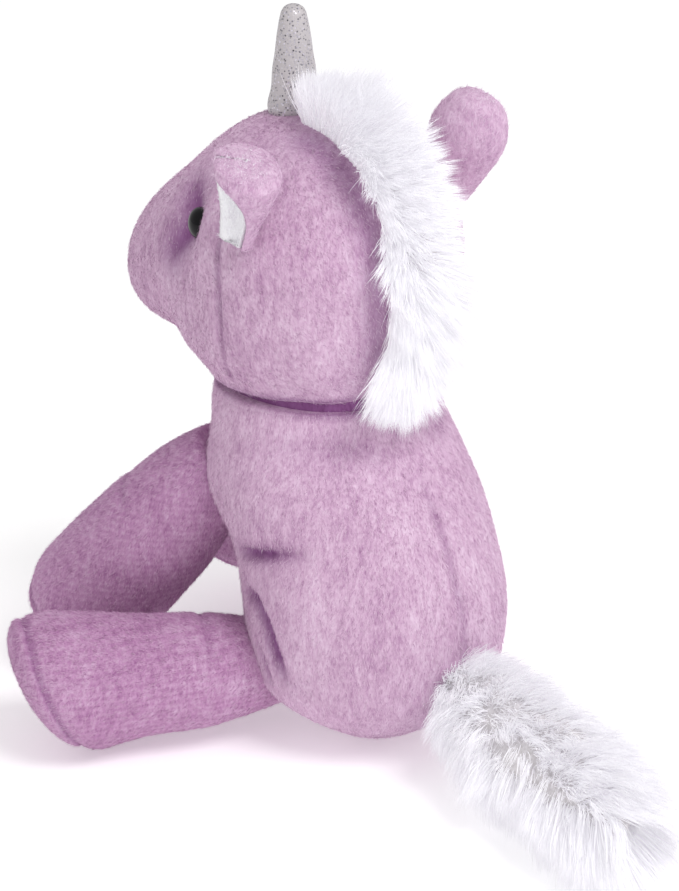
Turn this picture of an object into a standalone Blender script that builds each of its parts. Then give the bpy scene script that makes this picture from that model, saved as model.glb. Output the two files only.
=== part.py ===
"""Seated plush unicorn, built the way the toy is sewn: fabric panels round stuffing cores.

Frame: +Z up, the toy faces -Y and its left side is +X. The origin is the middle of the seat,
on the surface that the toy sits on. Every length is in metres.
"""

import math

import bpy
import bmesh
import numpy as np
from mathutils import Matrix, Vector

MM = 0.001

# Fabric and clearances
FABRIC = 1.6 * MM        # knitted pile fabric, backing and pile together
LINING = 1.1 * MM        # thinner fabric inside the ears
GAP = 0.35 * MM          # between pieces that rest on each other
CUT_GAP = 0.5 * MM       # between a ball and the socket that it turns in

# Where the toy bends
NECK = Vector((0, -25, 108)) * MM
NECK_BALL = 32 * MM
NECK_BAND = math.radians(48)     # the fabric band's reach above and below the ball's middle
SHOULDER_OUT, SHOULDER_Y, SHOULDER_Z = 24 * MM, -54 * MM, 74.5 * MM
HIP_OUT, HIP_Y, HIP_Z = 27 * MM, -25 * MM, 23 * MM
TAIL_BASE = Vector((0, 33, 24)) * MM
TAIL_BALL = 9.5 * MM
HORN_BASE = Vector((0, -40, 191.5)) * MM

# The seated pose: yaw is turned out from straight ahead, drop is tilted down, in degrees
HIND_YAW = {"left": 57, "right": 50}
FRONT_YAW = {"left": 18, "right": 16}
FRONT_DROP = {"left": 48, "right": 40}
TAIL_YAW, TAIL_DROP = 164, 3

# Torso sections, bottom to top: height, middle's Y, half width, half depth (mm)
TORSO = (
    (0, -3, 14, 13),
    (2, -3, 20.5, 19.5),
    (6, -3, 26.5, 25.5),
    (12, -3.5, 32, 31),
    (20, -4, 37, 35.5),
    (30, -4.2, 40.5, 38.6),
    (45, -4.5, 41.5, 39.5),
    (60, -8, 41.2, 39.2),
    (75, -14, 41, 39),
    (88, -20, 39, 37.2),
    (101, -24, 35.5, 34),
)
TORSO_LEVELS = (0, 1.5, 4, 8, 13, 20, 30, 43, 57, 70, 82, 92, 101)
SEAT_HALF = (13.5 * MM, 12.5 * MM)   # the seat gusset's half width and half depth
PELLETS_TOP = 20                     # one of the torso's levels
HALF_SEGMENTS = 10                   # faces across each left or right panel

# Head sections, nape to nose: Y, middle's height, half width, height above the middle,
# depth below it, and how square the lower half is (2 is an ellipse) (mm)
HEAD = (
    (14, 149, 0, 0, 0, 2),
    (13.3, 149, 7, 7, 8, 2),
    (10.5, 149, 16, 16, 19, 2.1),
    (4, 149.5, 26.5, 27, 33, 2.4),
    (-10, 150, 38, 37.5, 42, 3.4),
    (-29, 149.5, 42, 41, 42, 4.2),
    (-46, 149, 39, 39.5, 41.5, 3.4),
    (-58, 146, 35.5, 36.5, 37, 2.2),
    (-70, 141, 31, 31.5, 30.5, 2),
    (-82, 137, 27, 26.5, 26.5, 2),
    (-90, 135, 23, 22, 23, 2),
    (-96.5, 134, 16.5, 15.5, 16.5, 2),
    (-100.3, 134, 7, 6.5, 7, 2),
    (-101, 134, 0, 0, 0, 2),
)
HEAD_SEAM_Y = -30 * MM   # the seam over the head, through both ears

# Eyes
EYE_RADIUS, EYE_DOME = 4.8 * MM, 3.6 * MM
EYE_LIFT = 1.0 * MM      # of the eye's flat back, off the fabric's middle
EYE_ACROSS, EYE_ALONG = math.radians(15), -43 * MM
POST_RADIUS, POST_LENGTH = 1.3 * MM, 9 * MM
WASHER_RADIUS, WASHER_THICK, WASHER_PLAY = 5 * MM, 1.2 * MM, 0.3 * MM
POCKET_DEPTH = 10.5 * MM    # of the room for the washer and post in the stuffing

# Embroidered nose and mouth
NOSTRIL_Y, NOSTRIL_ACROSS = -94 * MM, math.radians(32)
NOSTRIL_HALF = (1.9 * MM, 1.3 * MM)
NOSTRIL_PROFILE = ((1, 0.1), (0.95, 0.5), (0.5, 0.8))   # share of the half width, height (mm)
MOUTH_Y, MOUTH_CURVE, MOUTH_HALF_ANGLE = -95.5 * MM, 2 * MM, math.radians(38)
THREAD = 0.5 * MM

# Mane: a band of fur that follows the head round a middle point, from crown to nape
MANE_MIDDLE = Vector((0, -27, 149.5)) * MM
MANE_FROM, MANE_TO = math.radians(92), math.radians(-44)
MANE_HALF_WIDTH, MANE_END_HALF_WIDTH = 14 * MM, 9 * MM
MANE_THICK, MANE_END_THICK = 12 * MM, 6 * MM
MANE_LIFT = 1.2 * MM     # off the middle line of the head
HEAD_ARCH = 40 * MM      # radius of the head's top from side to side
MANE_PARTS = 12

# Ears: base middle, tip, and the way the hollow faces, for the left ear
EAR_BASE = Vector((44.5, -18, 159)) * MM
EAR_TIP = Vector((50, -5, 197)) * MM
EAR_FACES = Vector((0.80, -0.58, 0.0))
EAR_HALF_WIDTH = 9 * MM

# Horn, tail and leg sizes
HORN_HEIGHT, HORN_RADIUS, HORN_TIP_RADIUS = 30 * MM, 7.3 * MM, 3.6 * MM
HORN_SKIN = 0.9 * MM
HORN_LEVELS = ((0, 1), (0.5, 1), (0.86, 1), (0.96, 0.72))   # share of height, share of radius
TAIL_LENGTH, TAIL_START = 102 * MM, 10.5 * MM
TAIL_FUR_THICK = 9 * MM
TAIL_RADII = ((0, 10), (0.1, 15), (0.3, 19.5), (0.6, 20.5), (0.85, 16.5), (0.96, 10))
HIND_RADII = ((0, 17), (0.3, 17.8), (0.65, 20), (0.88, 21.8), (1, 20.5))
FRONT_RADII = ((0, 16.8), (0.3, 19), (0.65, 20.5), (0.88, 21.3), (1, 19.5))
HIND_LENGTH, FRONT_LENGTH = 80 * MM, 78 * MM
ROUND = 16               # faces round a leg or the tail
BALL_ARC = (128, 104, 80, 58)   # degrees from the leg's end at which the sleeve wraps its ball
HIP_LIFTS = (0, 13, 26)    # degrees of lift that the torso leaves room for
LEG_BALL = {"front_leg": 16 * MM, "hind_leg": 17.5 * MM}
LEG_START, SOLE_BULGE = 14 * MM, 3.5 * MM

COLOURS = {
    "lilac_plush": ((0.56, 0.33, 0.58), 0.95, 0.0),
    "white_plush": ((0.86, 0.85, 0.87), 0.95, 0.0),
    "white_fur": ((0.88, 0.88, 0.92), 0.9, 0.0),
    "silver_fabric": ((0.62, 0.6, 0.62), 0.4, 0.6),
    "black_plastic": ((0.01, 0.01, 0.012), 0.12, 0.0),
    "washer_plastic": ((0.8, 0.8, 0.78), 0.5, 0.0),
    "fibre_fill": ((0.9, 0.9, 0.88), 1.0, 0.0),
    "pellet_cloth": ((0.75, 0.73, 0.68), 0.9, 0.0),
    "purple_thread": ((0.3, 0.12, 0.34), 0.7, 0.0),
}


# ---------------------------------------------------------------- scene and objects

def clear_scene():
    for obj in list(bpy.data.objects):
        bpy.data.objects.remove(obj, do_unlink=True)


def material(name):
    found = bpy.data.materials.get(name)
    if found:
        return found
    colour, roughness, metallic = COLOURS[name]
    made = bpy.data.materials.new(name)
    made.use_nodes = True
    shader = made.node_tree.nodes["Principled BSDF"]
    shader.inputs["Base Color"].default_value = (*colour, 1)
    shader.inputs["Roughness"].default_value = roughness
    shader.inputs["Metallic"].default_value = metallic
    return made


def empty_at(name, place):
    made = bpy.data.objects.new(name, None)
    made.location = place
    bpy.context.scene.collection.objects.link(made)
    return made


def add_object(name, mesh, finish, parent=None):
    """Links the mesh, given in world coordinates, as an object under parent's origin."""
    obj = bpy.data.objects.new(name, mesh)
    mesh.materials.append(material(finish))
    bpy.context.scene.collection.objects.link(obj)
    if parent is not None:
        mesh.transform(Matrix.Translation(-parent.location))
        obj.parent = parent
    mesh.shade_smooth()
    mesh.set_sharp_from_angle(angle=math.radians(40))
    return obj


def mesh_from(points, faces):
    """A mesh with coincident points made one, and its faces pointing out."""
    mesh = bpy.data.meshes.new("solid")
    build = bmesh.new()
    corners = [build.verts.new(p) for p in points]
    for face in faces:
        build.faces.new([corners[i] for i in face])
    bmesh.ops.remove_doubles(build, verts=build.verts, dist=1e-6)
    bmesh.ops.recalc_face_normals(build, faces=build.faces)
    build.to_mesh(mesh)
    build.free()
    return mesh


def cut(obj, *cutters):
    for cutter in cutters:
        step = obj.modifiers.new("Cut by " + cutter.name, "BOOLEAN")
        step.operation, step.solver, step.object = "DIFFERENCE", "EXACT", cutter


def cutter_of(mesh, name):
    obj = bpy.data.objects.new(name, mesh)
    bpy.context.scene.collection.objects.link(obj)
    obj.hide_render = True
    obj.display_type = "WIRE"
    return obj


def ball_cutter(name, centre, radius, segments=20):
    mesh = bpy.data.meshes.new(name)
    build = bmesh.new()
    place = Matrix.Translation(centre)
    bmesh.ops.create_uvsphere(
        build, u_segments=segments, v_segments=segments // 2, radius=radius, matrix=place
    )
    build.to_mesh(mesh)
    build.free()
    return cutter_of(mesh, name)


def bell_cutter(name, centre, radius, segments=24):
    """The upper half of a ball, carried straight down past the head's underside."""
    profile = [(radius, -2 * radius)]
    profile += [(radius * math.cos(a), radius * math.sin(a)) for a in steps(0, math.pi / 2, 6)]
    rings = [
        [centre + Vector((r * math.cos(a), r * math.sin(a), h))
         for a in steps(0, 2 * math.pi, segments)[:-1]]
        for r, h in profile[:-1]
    ]
    rings.append([centre + Vector((0, 0, radius))] * segments)
    return cutter_of(tube(rings), name)


def rod_mesh(start, direction, length, radius, segments=12):
    mesh = bpy.data.meshes.new("rod")
    build = bmesh.new()
    turn = direction.to_track_quat("Z", "Y").to_matrix().to_4x4()
    place = Matrix.Translation(start + direction * length / 2) @ turn
    bmesh.ops.create_cone(
        build, cap_ends=True, segments=segments, radius1=radius, radius2=radius,
        depth=length, matrix=place,
    )
    build.to_mesh(mesh)
    build.free()
    return mesh


# ---------------------------------------------------------------- curves and surfaces

def along(table, t):
    """Catmull-Rom interpolation of the table's other columns at its first column's value t."""
    rows = [np.array(row[1:], float) for row in table]
    keys = [row[0] for row in table]
    if keys[0] > keys[-1]:
        keys, t = [-k for k in keys], -t
    t = min(max(t, keys[0]), keys[-1])
    i = max(j for j in range(len(keys) - 1) if keys[j] <= t)
    step = keys[i + 1] - keys[i]
    s = (t - keys[i]) / step

    def slope(j):
        a, b = max(j - 1, 0), min(j + 1, len(keys) - 1)
        return (rows[b] - rows[a]) / (keys[b] - keys[a]) * step

    m0, m1 = slope(i), slope(i + 1)
    return (
        rows[i] * (2 * s**3 - 3 * s**2 + 1) + m0 * (s**3 - 2 * s**2 + s)
        + rows[i + 1] * (3 * s**2 - 2 * s**3) + m1 * (s**3 - s**2)
    )


def torso_point(height, angle):
    """A point of the torso's outer surface. Angle 0 is the left side, 90 the back."""
    middle, wide, deep = along(TORSO, height / MM) * MM
    return Vector((wide * math.cos(angle), middle + deep * math.sin(angle), height))


def head_point(y, angle):
    """A point of the head's outer surface. Angle 0 is the left side, 90 the top."""
    middle, wide, high, low, square = along(HEAD, y / MM)
    cosine, sine = math.cos(angle), math.sin(angle)
    if sine >= 0:
        return Vector((wide * cosine, y / MM, middle + high * sine)) * MM
    power = 2 / square
    x = math.copysign(abs(cosine) ** power, cosine) * wide
    return Vector((x, y / MM, middle - low * abs(sine) ** power)) * MM


def offset(surface, u, v, inward, du=0.4 * MM, dv=0.02):
    """The surface's point moved inward along its normal, or along the axis at a closed end."""
    point = surface(u, v)
    if inward == 0:
        return point
    across = surface(u, v + dv) - surface(u, v - dv)
    if across.length < 1e-9:
        beyond, short = surface(u + du, v), surface(u - du, v)
        ring = beyond if (beyond - point).length > (short - point).length else short
        side = 1 if ring.y > point.y else -1
        return point + Vector((0, side * inward, 0))
    normal = (surface(u + du, v) - surface(u - du, v)).cross(across).normalized()
    middle = (surface(u, v) + surface(u, v + math.pi)) / 2
    if normal.dot(point - middle) < 0:
        normal.negate()
    return point - normal * inward


def split_quad(a, b, c, d):
    """Two triangles; the same diagonal everywhere, so that nested surfaces stay parallel."""
    return [[a, b, c], [a, c, d]]


def patch(outer, inner, ring_closed=False):
    """A closed solid between two grids of points that match, outer and inner."""
    rows, columns = len(outer), len(outer[0])
    points = [p for row in outer for p in row] + [p for row in inner for p in row]
    faces = []

    def index(side, i, j):
        return side * rows * columns + i * columns + j % columns

    last = columns if ring_closed else columns - 1
    for side in (0, 1):
        for i in range(rows - 1):
            for j in range(last):
                faces += split_quad(
                    index(side, i, j), index(side, i, j + 1),
                    index(side, i + 1, j + 1), index(side, i + 1, j),
                )
    for i in (0, rows - 1):
        for j in range(last):
            faces.append([index(0, i, j), index(0, i, j + 1), index(1, i, j + 1), index(1, i, j)])
    if not ring_closed:
        for j in (0, columns - 1):
            for i in range(rows - 1):
                faces.append([
                    index(0, i, j), index(0, i + 1, j), index(1, i + 1, j), index(1, i, j),
                ])
    return solid_from(points, faces)


def solid_from(points, faces):
    """The mesh of those faces, leaving out corners and faces that have shrunk to nothing."""
    places, kept = {}, []
    for face in faces:
        ring = []
        for i in face:
            key = tuple(round(c, 7) for c in points[i])
            number = places.setdefault(key, len(places))
            if number not in ring:
                ring.append(number)
        if len(ring) > 2:
            kept.append(ring)
    return mesh_from(list(places), kept)


def tube(rings):
    """A solid through rings of points, with a flat fan at each end."""
    points = [p for ring in rings for p in ring]
    count = len(rings[0])
    faces = []
    for i in range(len(rings) - 1):
        for j in range(count):
            after = (j + 1) % count
            low, high = i * count, (i + 1) * count
            faces += split_quad(low + j, low + after, high + after, high + j)
    for i in (0, len(rings) - 1):
        points.append(sum(rings[i], Vector()) / count)
        for j in range(count):
            faces.append([len(points) - 1, i * count + j, i * count + (j + 1) % count])
    return solid_from(points, faces)


def half_turn(sign):
    """Angles round the left half or the right half of a section."""
    start = -math.pi / 2 if sign > 0 else math.pi / 2
    return steps(start, start + math.pi, HALF_SEGMENTS)


def full_turn():
    """Angles round a whole section, meeting both half turns' angles."""
    return steps(-math.pi / 2, 1.5 * math.pi, 2 * HALF_SEGMENTS)[:-1]


def steps(start, end, count):
    return [start + (end - start) * i / count for i in range(count + 1)]


def eased(start, end, count):
    """Steps that crowd towards both ends, where a rounded shape turns fastest."""
    return [
        start + (end - start) * (1 - math.cos(math.pi * i / count)) / 2
        for i in range(count + 1)
    ]


def on_floor(point, lift=0.0):
    return Vector((point.x, point.y, max(point.z, lift)))


def beside_middle(point, sign):
    """Keeps a left or right panel's edge clear of the seam in the middle."""
    return Vector((sign * max(abs(point.x), GAP / 2), point.y, point.z))


# ---------------------------------------------------------------- torso

def sockets():
    """The hollows that the balls of the neck, legs and tail turn in."""
    made = [
        ball_cutter("neck_socket", NECK, NECK_BALL + CUT_GAP, 24),
        ball_cutter("tail_socket", TAIL_BASE, TAIL_BALL + CUT_GAP, 16),
    ]
    for side, sign in (("left", 1), ("right", -1)):
        shoulder = Vector((sign * SHOULDER_OUT, SHOULDER_Y, SHOULDER_Z))
        hip = Vector((sign * HIP_OUT, HIP_Y, HIP_Z))
        places = (("front_leg", shoulder), ("hind_leg", hip))
        for name, place in places:
            radius = LEG_BALL[name] + CUT_GAP
            made.append(ball_cutter(f"{name}_socket_{side}", place, radius))
    return made


def hip_clearances():
    """Room in the torso for each hind leg's root as the leg lifts."""
    made = []
    for side, sign in (("left", 1), ("right", -1)):
        for lift in HIP_LIFTS:
            base = Vector((sign * HIP_OUT, HIP_Y, HIP_Z))
            frame = leg_frame(base, HIND_YAW[side], -lift, sign)
            radii = [LEG_BALL["hind_leg"], HIND_RADII[0][1] * MM, HIND_RADII[1][1] * MM]
            ends = [LEG_BALL["hind_leg"] * 0.2, LEG_START, 2.2 * LEG_START]
            rings = [leg_ring(frame, d, r + CUT_GAP, lift=-1) for d, r in zip(ends, radii)]
            made.append(cutter_of(tube(rings), f"hip_clearance_{side}_{lift}"))
    return made


def torso_panel(side, sign, cutters):
    outer, inner = [], []
    for level in TORSO_LEVELS:
        rows = [[], []]
        for a in half_turn(sign):
            for row, depth in zip(rows, (0, FABRIC)):
                point = offset(torso_point, level * MM, a, depth)
                row.append(beside_middle(on_floor(point, depth), sign))
        outer.append(rows[0])
        inner.append(rows[1])
    panel = add_object("body_panel_" + side, patch(outer, inner), "lilac_plush")
    cut(panel, *cutters)


def torso_core(levels, raised):
    """A filling between two levels; raised lifts its lowest ring off what lies under it."""
    depth = FABRIC + GAP
    rings = []
    for level in levels:
        rings.append([
            on_floor(offset(torso_point, level * MM, a, depth), depth)
            for a in full_turn()
        ])
    for point in rings[0]:
        point.z += raised
    return tube(rings)


def seat_gusset():
    """The oval under the seat that the side panels are sewn round."""
    segments = 24
    shrink = 1 - 2 * GAP / SEAT_HALF[0]
    rings = []
    for z in (0, FABRIC):
        rings.append([
            Vector((
                SEAT_HALF[0] * shrink * math.cos(a),
                TORSO[0][1] * MM + SEAT_HALF[1] * shrink * math.sin(a),
                z,
            ))
            for a in steps(0, 2 * math.pi, segments)[:-1]
        ])
    add_object("seat_gusset", tube(rings), "lilac_plush")


def torso(cutters):
    for side, sign in (("left", 1), ("right", -1)):
        torso_panel(side, sign, cutters)
    seat_gusset()
    low = [level for level in TORSO_LEVELS if level <= PELLETS_TOP]
    high = [level for level in TORSO_LEVELS if level >= PELLETS_TOP]
    bag = add_object("pellet_bag", torso_core(low, 0), "pellet_cloth")
    core = add_object("body_stuffing", torso_core(high, GAP), "fibre_fill")
    cut(bag, *cutters)
    cut(core, *cutters)


# ---------------------------------------------------------------- legs

def leg_frame(base, yaw, drop, sign):
    """The leg's own axes at its joint: along it, across it and up."""
    out, down = math.radians(yaw), math.radians(drop)
    axis = Vector((
        sign * math.sin(out) * math.cos(down), -math.cos(out) * math.cos(down), -math.sin(down)
    ))
    across = axis.cross(Vector((0, 0, 1))).normalized()
    upward = across.cross(axis).normalized()
    return base, axis, across, upward


def leg_ring(frame, distance, radius, segments=ROUND, lift=0.0):
    base, axis, across, upward = frame
    return [
        on_floor(
            base + axis * distance
            + (across * math.cos(a) + upward * math.sin(a)) * radius,
            lift,
        )
        for a in steps(0, 2 * math.pi, segments)[:-1]
    ]


def leg(name, side, frame, length, radii):
    """Sleeve, sole and stuffing of one leg, under an empty on its joint."""
    joint = empty_at(f"{name}_joint_{side}", frame[0])
    seam = length - SOLE_BULGE

    def place(share):
        return LEG_START + (seam - LEG_START) * share

    def radius(share):
        return along(radii, share)[0] * MM

    shares = (0, 0.2, 0.42, 0.65, 0.85, 1)
    ball_radius = LEG_BALL[name]
    arc = [math.radians(a) for a in BALL_ARC]
    profile = [(ball_radius * math.cos(a), ball_radius * math.sin(a)) for a in arc]
    profile += [(place(s), radius(s)) for s in shares]
    outer = [leg_ring(frame, d, r) for d, r in profile]
    inner = [leg_ring(frame, d, r - FABRIC, lift=FABRIC) for d, r in profile]
    sleeve = patch(outer, inner, ring_closed=True)
    add_object(f"{name}_sleeve_{side}", sleeve, "lilac_plush", joint)

    end = radius(1)
    domes = ((GAP, 1.0), (GAP + 1.4 * MM, 0.96), (SOLE_BULGE * 0.8, 0.72), (SOLE_BULGE, 0.3))
    rings = [leg_ring(frame, seam + d, end * r) for d, r in domes]
    add_object(f"{name}_sole_{side}", tube(rings), "lilac_plush", joint)

    within = ball_radius - FABRIC - GAP
    bulb = [
        (-within * math.cos(a), within * math.sin(a))
        for a in steps(0.3, math.pi - arc[0] - 0.2, 4)
    ]
    core = [(d, r - FABRIC - GAP) for d, r in profile]
    rings = [leg_ring(frame, d, r, lift=FABRIC + GAP) for d, r in bulb + core]
    add_object(f"{name}_stuffing_{side}", tube(rings), "fibre_fill", joint)


def legs():
    for side, sign in (("left", 1), ("right", -1)):
        shoulder = Vector((sign * SHOULDER_OUT, SHOULDER_Y, SHOULDER_Z))
        front = leg_frame(shoulder, FRONT_YAW[side], FRONT_DROP[side], sign)
        leg("front_leg", side, front, FRONT_LENGTH, FRONT_RADII)
        hip = Vector((sign * HIP_OUT, HIP_Y, HIP_Z))
        hind = leg_frame(hip, HIND_YAW[side], 0, sign)
        leg("hind_leg", side, hind, HIND_LENGTH, HIND_RADII)


# ---------------------------------------------------------------- neck and head

def ball(name, centre, radius, finish, parent, segments=20):
    mesh = bpy.data.meshes.new(name)
    build = bmesh.new()
    bmesh.ops.create_uvsphere(
        build, u_segments=segments, v_segments=segments // 2, radius=radius,
        matrix=Matrix.Translation(centre),
    )
    build.to_mesh(mesh)
    build.free()
    return add_object(name, mesh, finish, parent)


def neck_pieces(parent):
    """The neck's fabric band round a ball of stuffing."""
    def rings(radius):
        return [
            [NECK + Vector((math.cos(h) * math.cos(a), math.cos(h) * math.sin(a), math.sin(h)))
             * radius for a in steps(0, 2 * math.pi, 24)[:-1]]
            for h in steps(-NECK_BAND, NECK_BAND, 6)
        ]

    band = patch(rings(NECK_BALL), rings(NECK_BALL - FABRIC), ring_closed=True)
    add_object("neck_band", band, "lilac_plush", parent)
    ball("neck_stuffing", NECK, NECK_BALL - FABRIC - GAP, "fibre_fill", parent, 24)


def head_panel(name, sign, ys, parent, cutters):
    outer, inner = [], []
    for y in ys:
        rows = [[], []]
        for a in half_turn(sign):
            for row, depth in zip(rows, (0, FABRIC)):
                row.append(beside_middle(offset(head_point, y, a, depth), sign))
        outer.append(rows[0])
        inner.append(rows[1])
    panel = add_object(name, patch(outer, inner), "lilac_plush", parent)
    cut(panel, *cutters)


def eye_place(sign):
    """The eye's middle on the head's surface, and the way that it looks."""
    angle = EYE_ACROSS if sign > 0 else math.pi - EYE_ACROSS
    point = head_point(EYE_ALONG, angle)
    inside = offset(head_point, EYE_ALONG, angle, 1 * MM)
    return point, (point - inside).normalized()


def eye(side, sign, parent):
    """A domed plastic eye with its post, and the lock washer behind the fabric."""
    point, out = eye_place(sign)
    turn = out.to_track_quat("Z", "Y")
    base = point + out * EYE_LIFT
    profile = [(POST_RADIUS, -POST_LENGTH), (POST_RADIUS, 0)]
    profile += [
        (EYE_RADIUS * math.cos(a), EYE_DOME * math.sin(a))
        for a in steps(0, math.pi / 2, 5)[:-1]
    ]
    rings = [
        [base + turn @ Vector((r * math.cos(a), r * math.sin(a), h))
         for a in steps(0, 2 * math.pi, 16)[:-1]]
        for r, h in profile
    ]
    add_object("eye_" + side, tube(rings), "black_plastic", parent)
    back = point - out * (FABRIC + 2 * WASHER_THICK)
    behind, front = [
        [
            [back + turn @ Vector((r * math.cos(a), r * math.sin(a), h))
             for a in steps(0, 2 * math.pi, 16)[:-1]]
            for r in (POST_RADIUS + WASHER_PLAY, WASHER_RADIUS)
        ]
        for h in (0, WASHER_THICK)
    ]
    washer = patch(behind, front, ring_closed=True)
    add_object("eye_washer_" + side, washer, "washer_plastic", parent)


def head(parent):
    neck_hole = bell_cutter("head_socket", NECK, NECK_BALL + CUT_GAP)
    posts, pockets = [], []
    for side, sign in (("left", 1), ("right", -1)):
        point, out = eye_place(sign)
        start = point + out * (3 * MM)
        hole = rod_mesh(start, -out, 3 * MM + POCKET_DEPTH, POST_RADIUS + CUT_GAP)
        posts.append(cutter_of(hole, "eye_hole_" + side))
        pocket = rod_mesh(start, -out, 3 * MM + POCKET_DEPTH, WASHER_RADIUS + CUT_GAP)
        pockets.append(cutter_of(pocket, "washer_pocket_" + side))

    nose, nape = HEAD[-1][0] * MM, HEAD[0][0] * MM
    face_ys = eased(2 * HEAD_SEAM_Y - nose - GAP, nose, 18)[9:]
    face_ys[0] = HEAD_SEAM_Y - GAP / 2
    back_ys = eased(2 * HEAD_SEAM_Y - nape + GAP, nape, 14)[7:]
    back_ys[0] = HEAD_SEAM_Y + GAP / 2
    for number, (side, sign) in enumerate((("left", 1), ("right", -1))):
        head_panel("face_panel_" + side, sign, face_ys, parent, [neck_hole, posts[number]])
        head_panel("head_back_panel_" + side, sign, back_ys[::-1], parent, [neck_hole])
        eye(side, sign, parent)

    depth = FABRIC + GAP
    rings = [
        [offset(head_point, y, a, depth) for a in full_turn()]
        for y in back_ys[::-1] + face_ys[1:]
    ]
    core = add_object("head_stuffing", tube(rings), "fibre_fill", parent)
    cut(core, neck_hole, *pockets)


# ---------------------------------------------------------------- mane, horn, ears and tail

def mane(parent):
    """The fur's outer shape along the middle of the head, from behind the horn to the nape."""
    rings = []
    for k, turn in enumerate(steps(MANE_FROM, MANE_TO, MANE_PARTS)):
        spoke = Vector((0, math.cos(turn), math.sin(turn)))
        reach = HEAD_ARCH - 4 * MM
        while inside_head(MANE_MIDDLE + spoke * reach):
            reach += 0.25 * MM
        start = MANE_MIDDLE + spoke * (reach + MANE_LIFT)
        full = min(min(k, MANE_PARTS - k) / 3, 1)
        wide = MANE_END_HALF_WIDTH + (MANE_HALF_WIDTH - MANE_END_HALF_WIDTH) * full
        thick = MANE_END_THICK + (MANE_THICK - MANE_END_THICK) * full
        ring = []
        for a in steps(0, 2 * math.pi, 12)[:-1]:
            side, lift = math.cos(a) * wide, math.sin(a)
            height = thick * lift if lift > 0 else -side * side / (2 * HEAD_ARCH)
            ring.append(start + Vector((side, 0, 0)) + spoke * height)
        rings.append(ring)
    add_object("mane", tube(rings), "white_fur", parent)


def inside_head(point):
    """Whether a point of the middle plane is inside the head."""
    if not HEAD[-1][0] * MM < point.y < HEAD[0][0] * MM:
        return False
    middle, _, high, low, _ = along(HEAD, point.y / MM) * MM
    return middle - low < point.z < middle + high


def horn(parent):
    """A silver cone sewn at its base, with its stuffing."""
    def rings(shrink, floor, height):
        made = []
        for share, narrow in HORN_LEVELS:
            r = (HORN_RADIUS + (HORN_TIP_RADIUS - HORN_RADIUS) * share) * narrow - shrink
            made.append([
                HORN_BASE + Vector((r * math.cos(a), r * math.sin(a), floor + height * share))
                for a in steps(0, 2 * math.pi, 16)[:-1]
            ])
        return made

    outer, inner = rings(0, 0, HORN_HEIGHT), rings(HORN_SKIN, 0, HORN_HEIGHT - HORN_SKIN)
    outer.append([HORN_BASE + Vector((0, 0, HORN_HEIGHT))] * 16)
    inner.append([HORN_BASE + Vector((0, 0, HORN_HEIGHT - 1.5 * HORN_SKIN))] * 16)
    add_object("horn_cover", patch(outer, inner, ring_closed=True), "silver_fabric", parent)
    core = rings(HORN_SKIN + GAP, GAP, HORN_HEIGHT - 3.2 * HORN_SKIN)
    add_object("horn_stuffing", tube(core), "fibre_fill", parent)


def ear_point(side_sign, share, across, depth):
    """A point of the ear: share from base to tip, across from -1 to 1, depth behind the lining."""
    flip = Vector((side_sign, 1, 1))
    base, tip = EAR_BASE * flip, EAR_TIP * flip
    along_ear = (tip - base).normalized()
    faces = EAR_FACES * flip
    faces = (faces - along_ear * faces.dot(along_ear)).normalized()
    wide_way = along_ear.cross(faces)
    width = EAR_HALF_WIDTH * (0.55 + 1.1 * share) * math.sqrt(max(1 - share**3.2, 0))
    width = min(width, EAR_HALF_WIDTH * 1.15)
    bend = math.radians(75 - 35 * share)
    turn = across * bend
    radius = width / bend
    hollow = radius * (1 - math.cos(turn))
    return (
        base + along_ear * (share * (tip - base).length)
        + wide_way * (radius + depth) * math.sin(turn) + faces * (hollow - depth * math.cos(turn))
    )


def ear(side, sign):
    joint = empty_at("ear_joint_" + side, EAR_BASE * Vector((sign, 1, 1)))
    shares = (0, 0.2, 0.42, 0.65, 0.85, 0.96, 0.995)
    acrosses = steps(-1, 1, 8)
    layers = (("ear_lining_", 0, LINING, "white_plush"),
              ("ear_back_", LINING + GAP, LINING + GAP + FABRIC, "lilac_plush"))
    for name, near, far, finish in layers:
        grids = [
            [[ear_point(sign, s, c, depth) for c in acrosses] for s in shares]
            for depth in (near, far)
        ]
        add_object(name + side, patch(*grids), finish, joint)


def tail():
    root = empty_at("tail_root_joint", TAIL_BASE)
    ball("tail_root", TAIL_BASE, TAIL_BALL, "white_plush", root, 16)
    joint = empty_at("tail_joint", TAIL_BASE)
    frame = leg_frame(TAIL_BASE, TAIL_YAW, TAIL_DROP, 1)

    def place(share):
        return TAIL_START + (TAIL_LENGTH - TAIL_START) * share

    wall = TAIL_FUR_THICK
    shares = [row[0] for row in TAIL_RADII]
    outer = [leg_ring(frame, place(s), along(TAIL_RADII, s)[0] * MM) for s in shares]
    inner = [
        leg_ring(frame, place(s * 0.9), max(along(TAIL_RADII, s)[0] * MM - wall, 2 * MM))
        for s in shares
    ]
    outer.append([frame[0] + frame[1] * place(1.0)] * ROUND)
    inner.append([frame[0] + frame[1] * place(0.88)] * ROUND)
    fur = patch(outer, inner, ring_closed=True)
    add_object("tail_fur", fur, "white_fur", joint)
    core = [
        leg_ring(frame, place(s * 0.9) + 0.1 * MM,
                 max(along(TAIL_RADII, s)[0] * MM - wall - GAP, 1 * MM))
        for s in shares[:-1]
    ]
    add_object("tail_stuffing", tube(core), "fibre_fill", joint)


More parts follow.
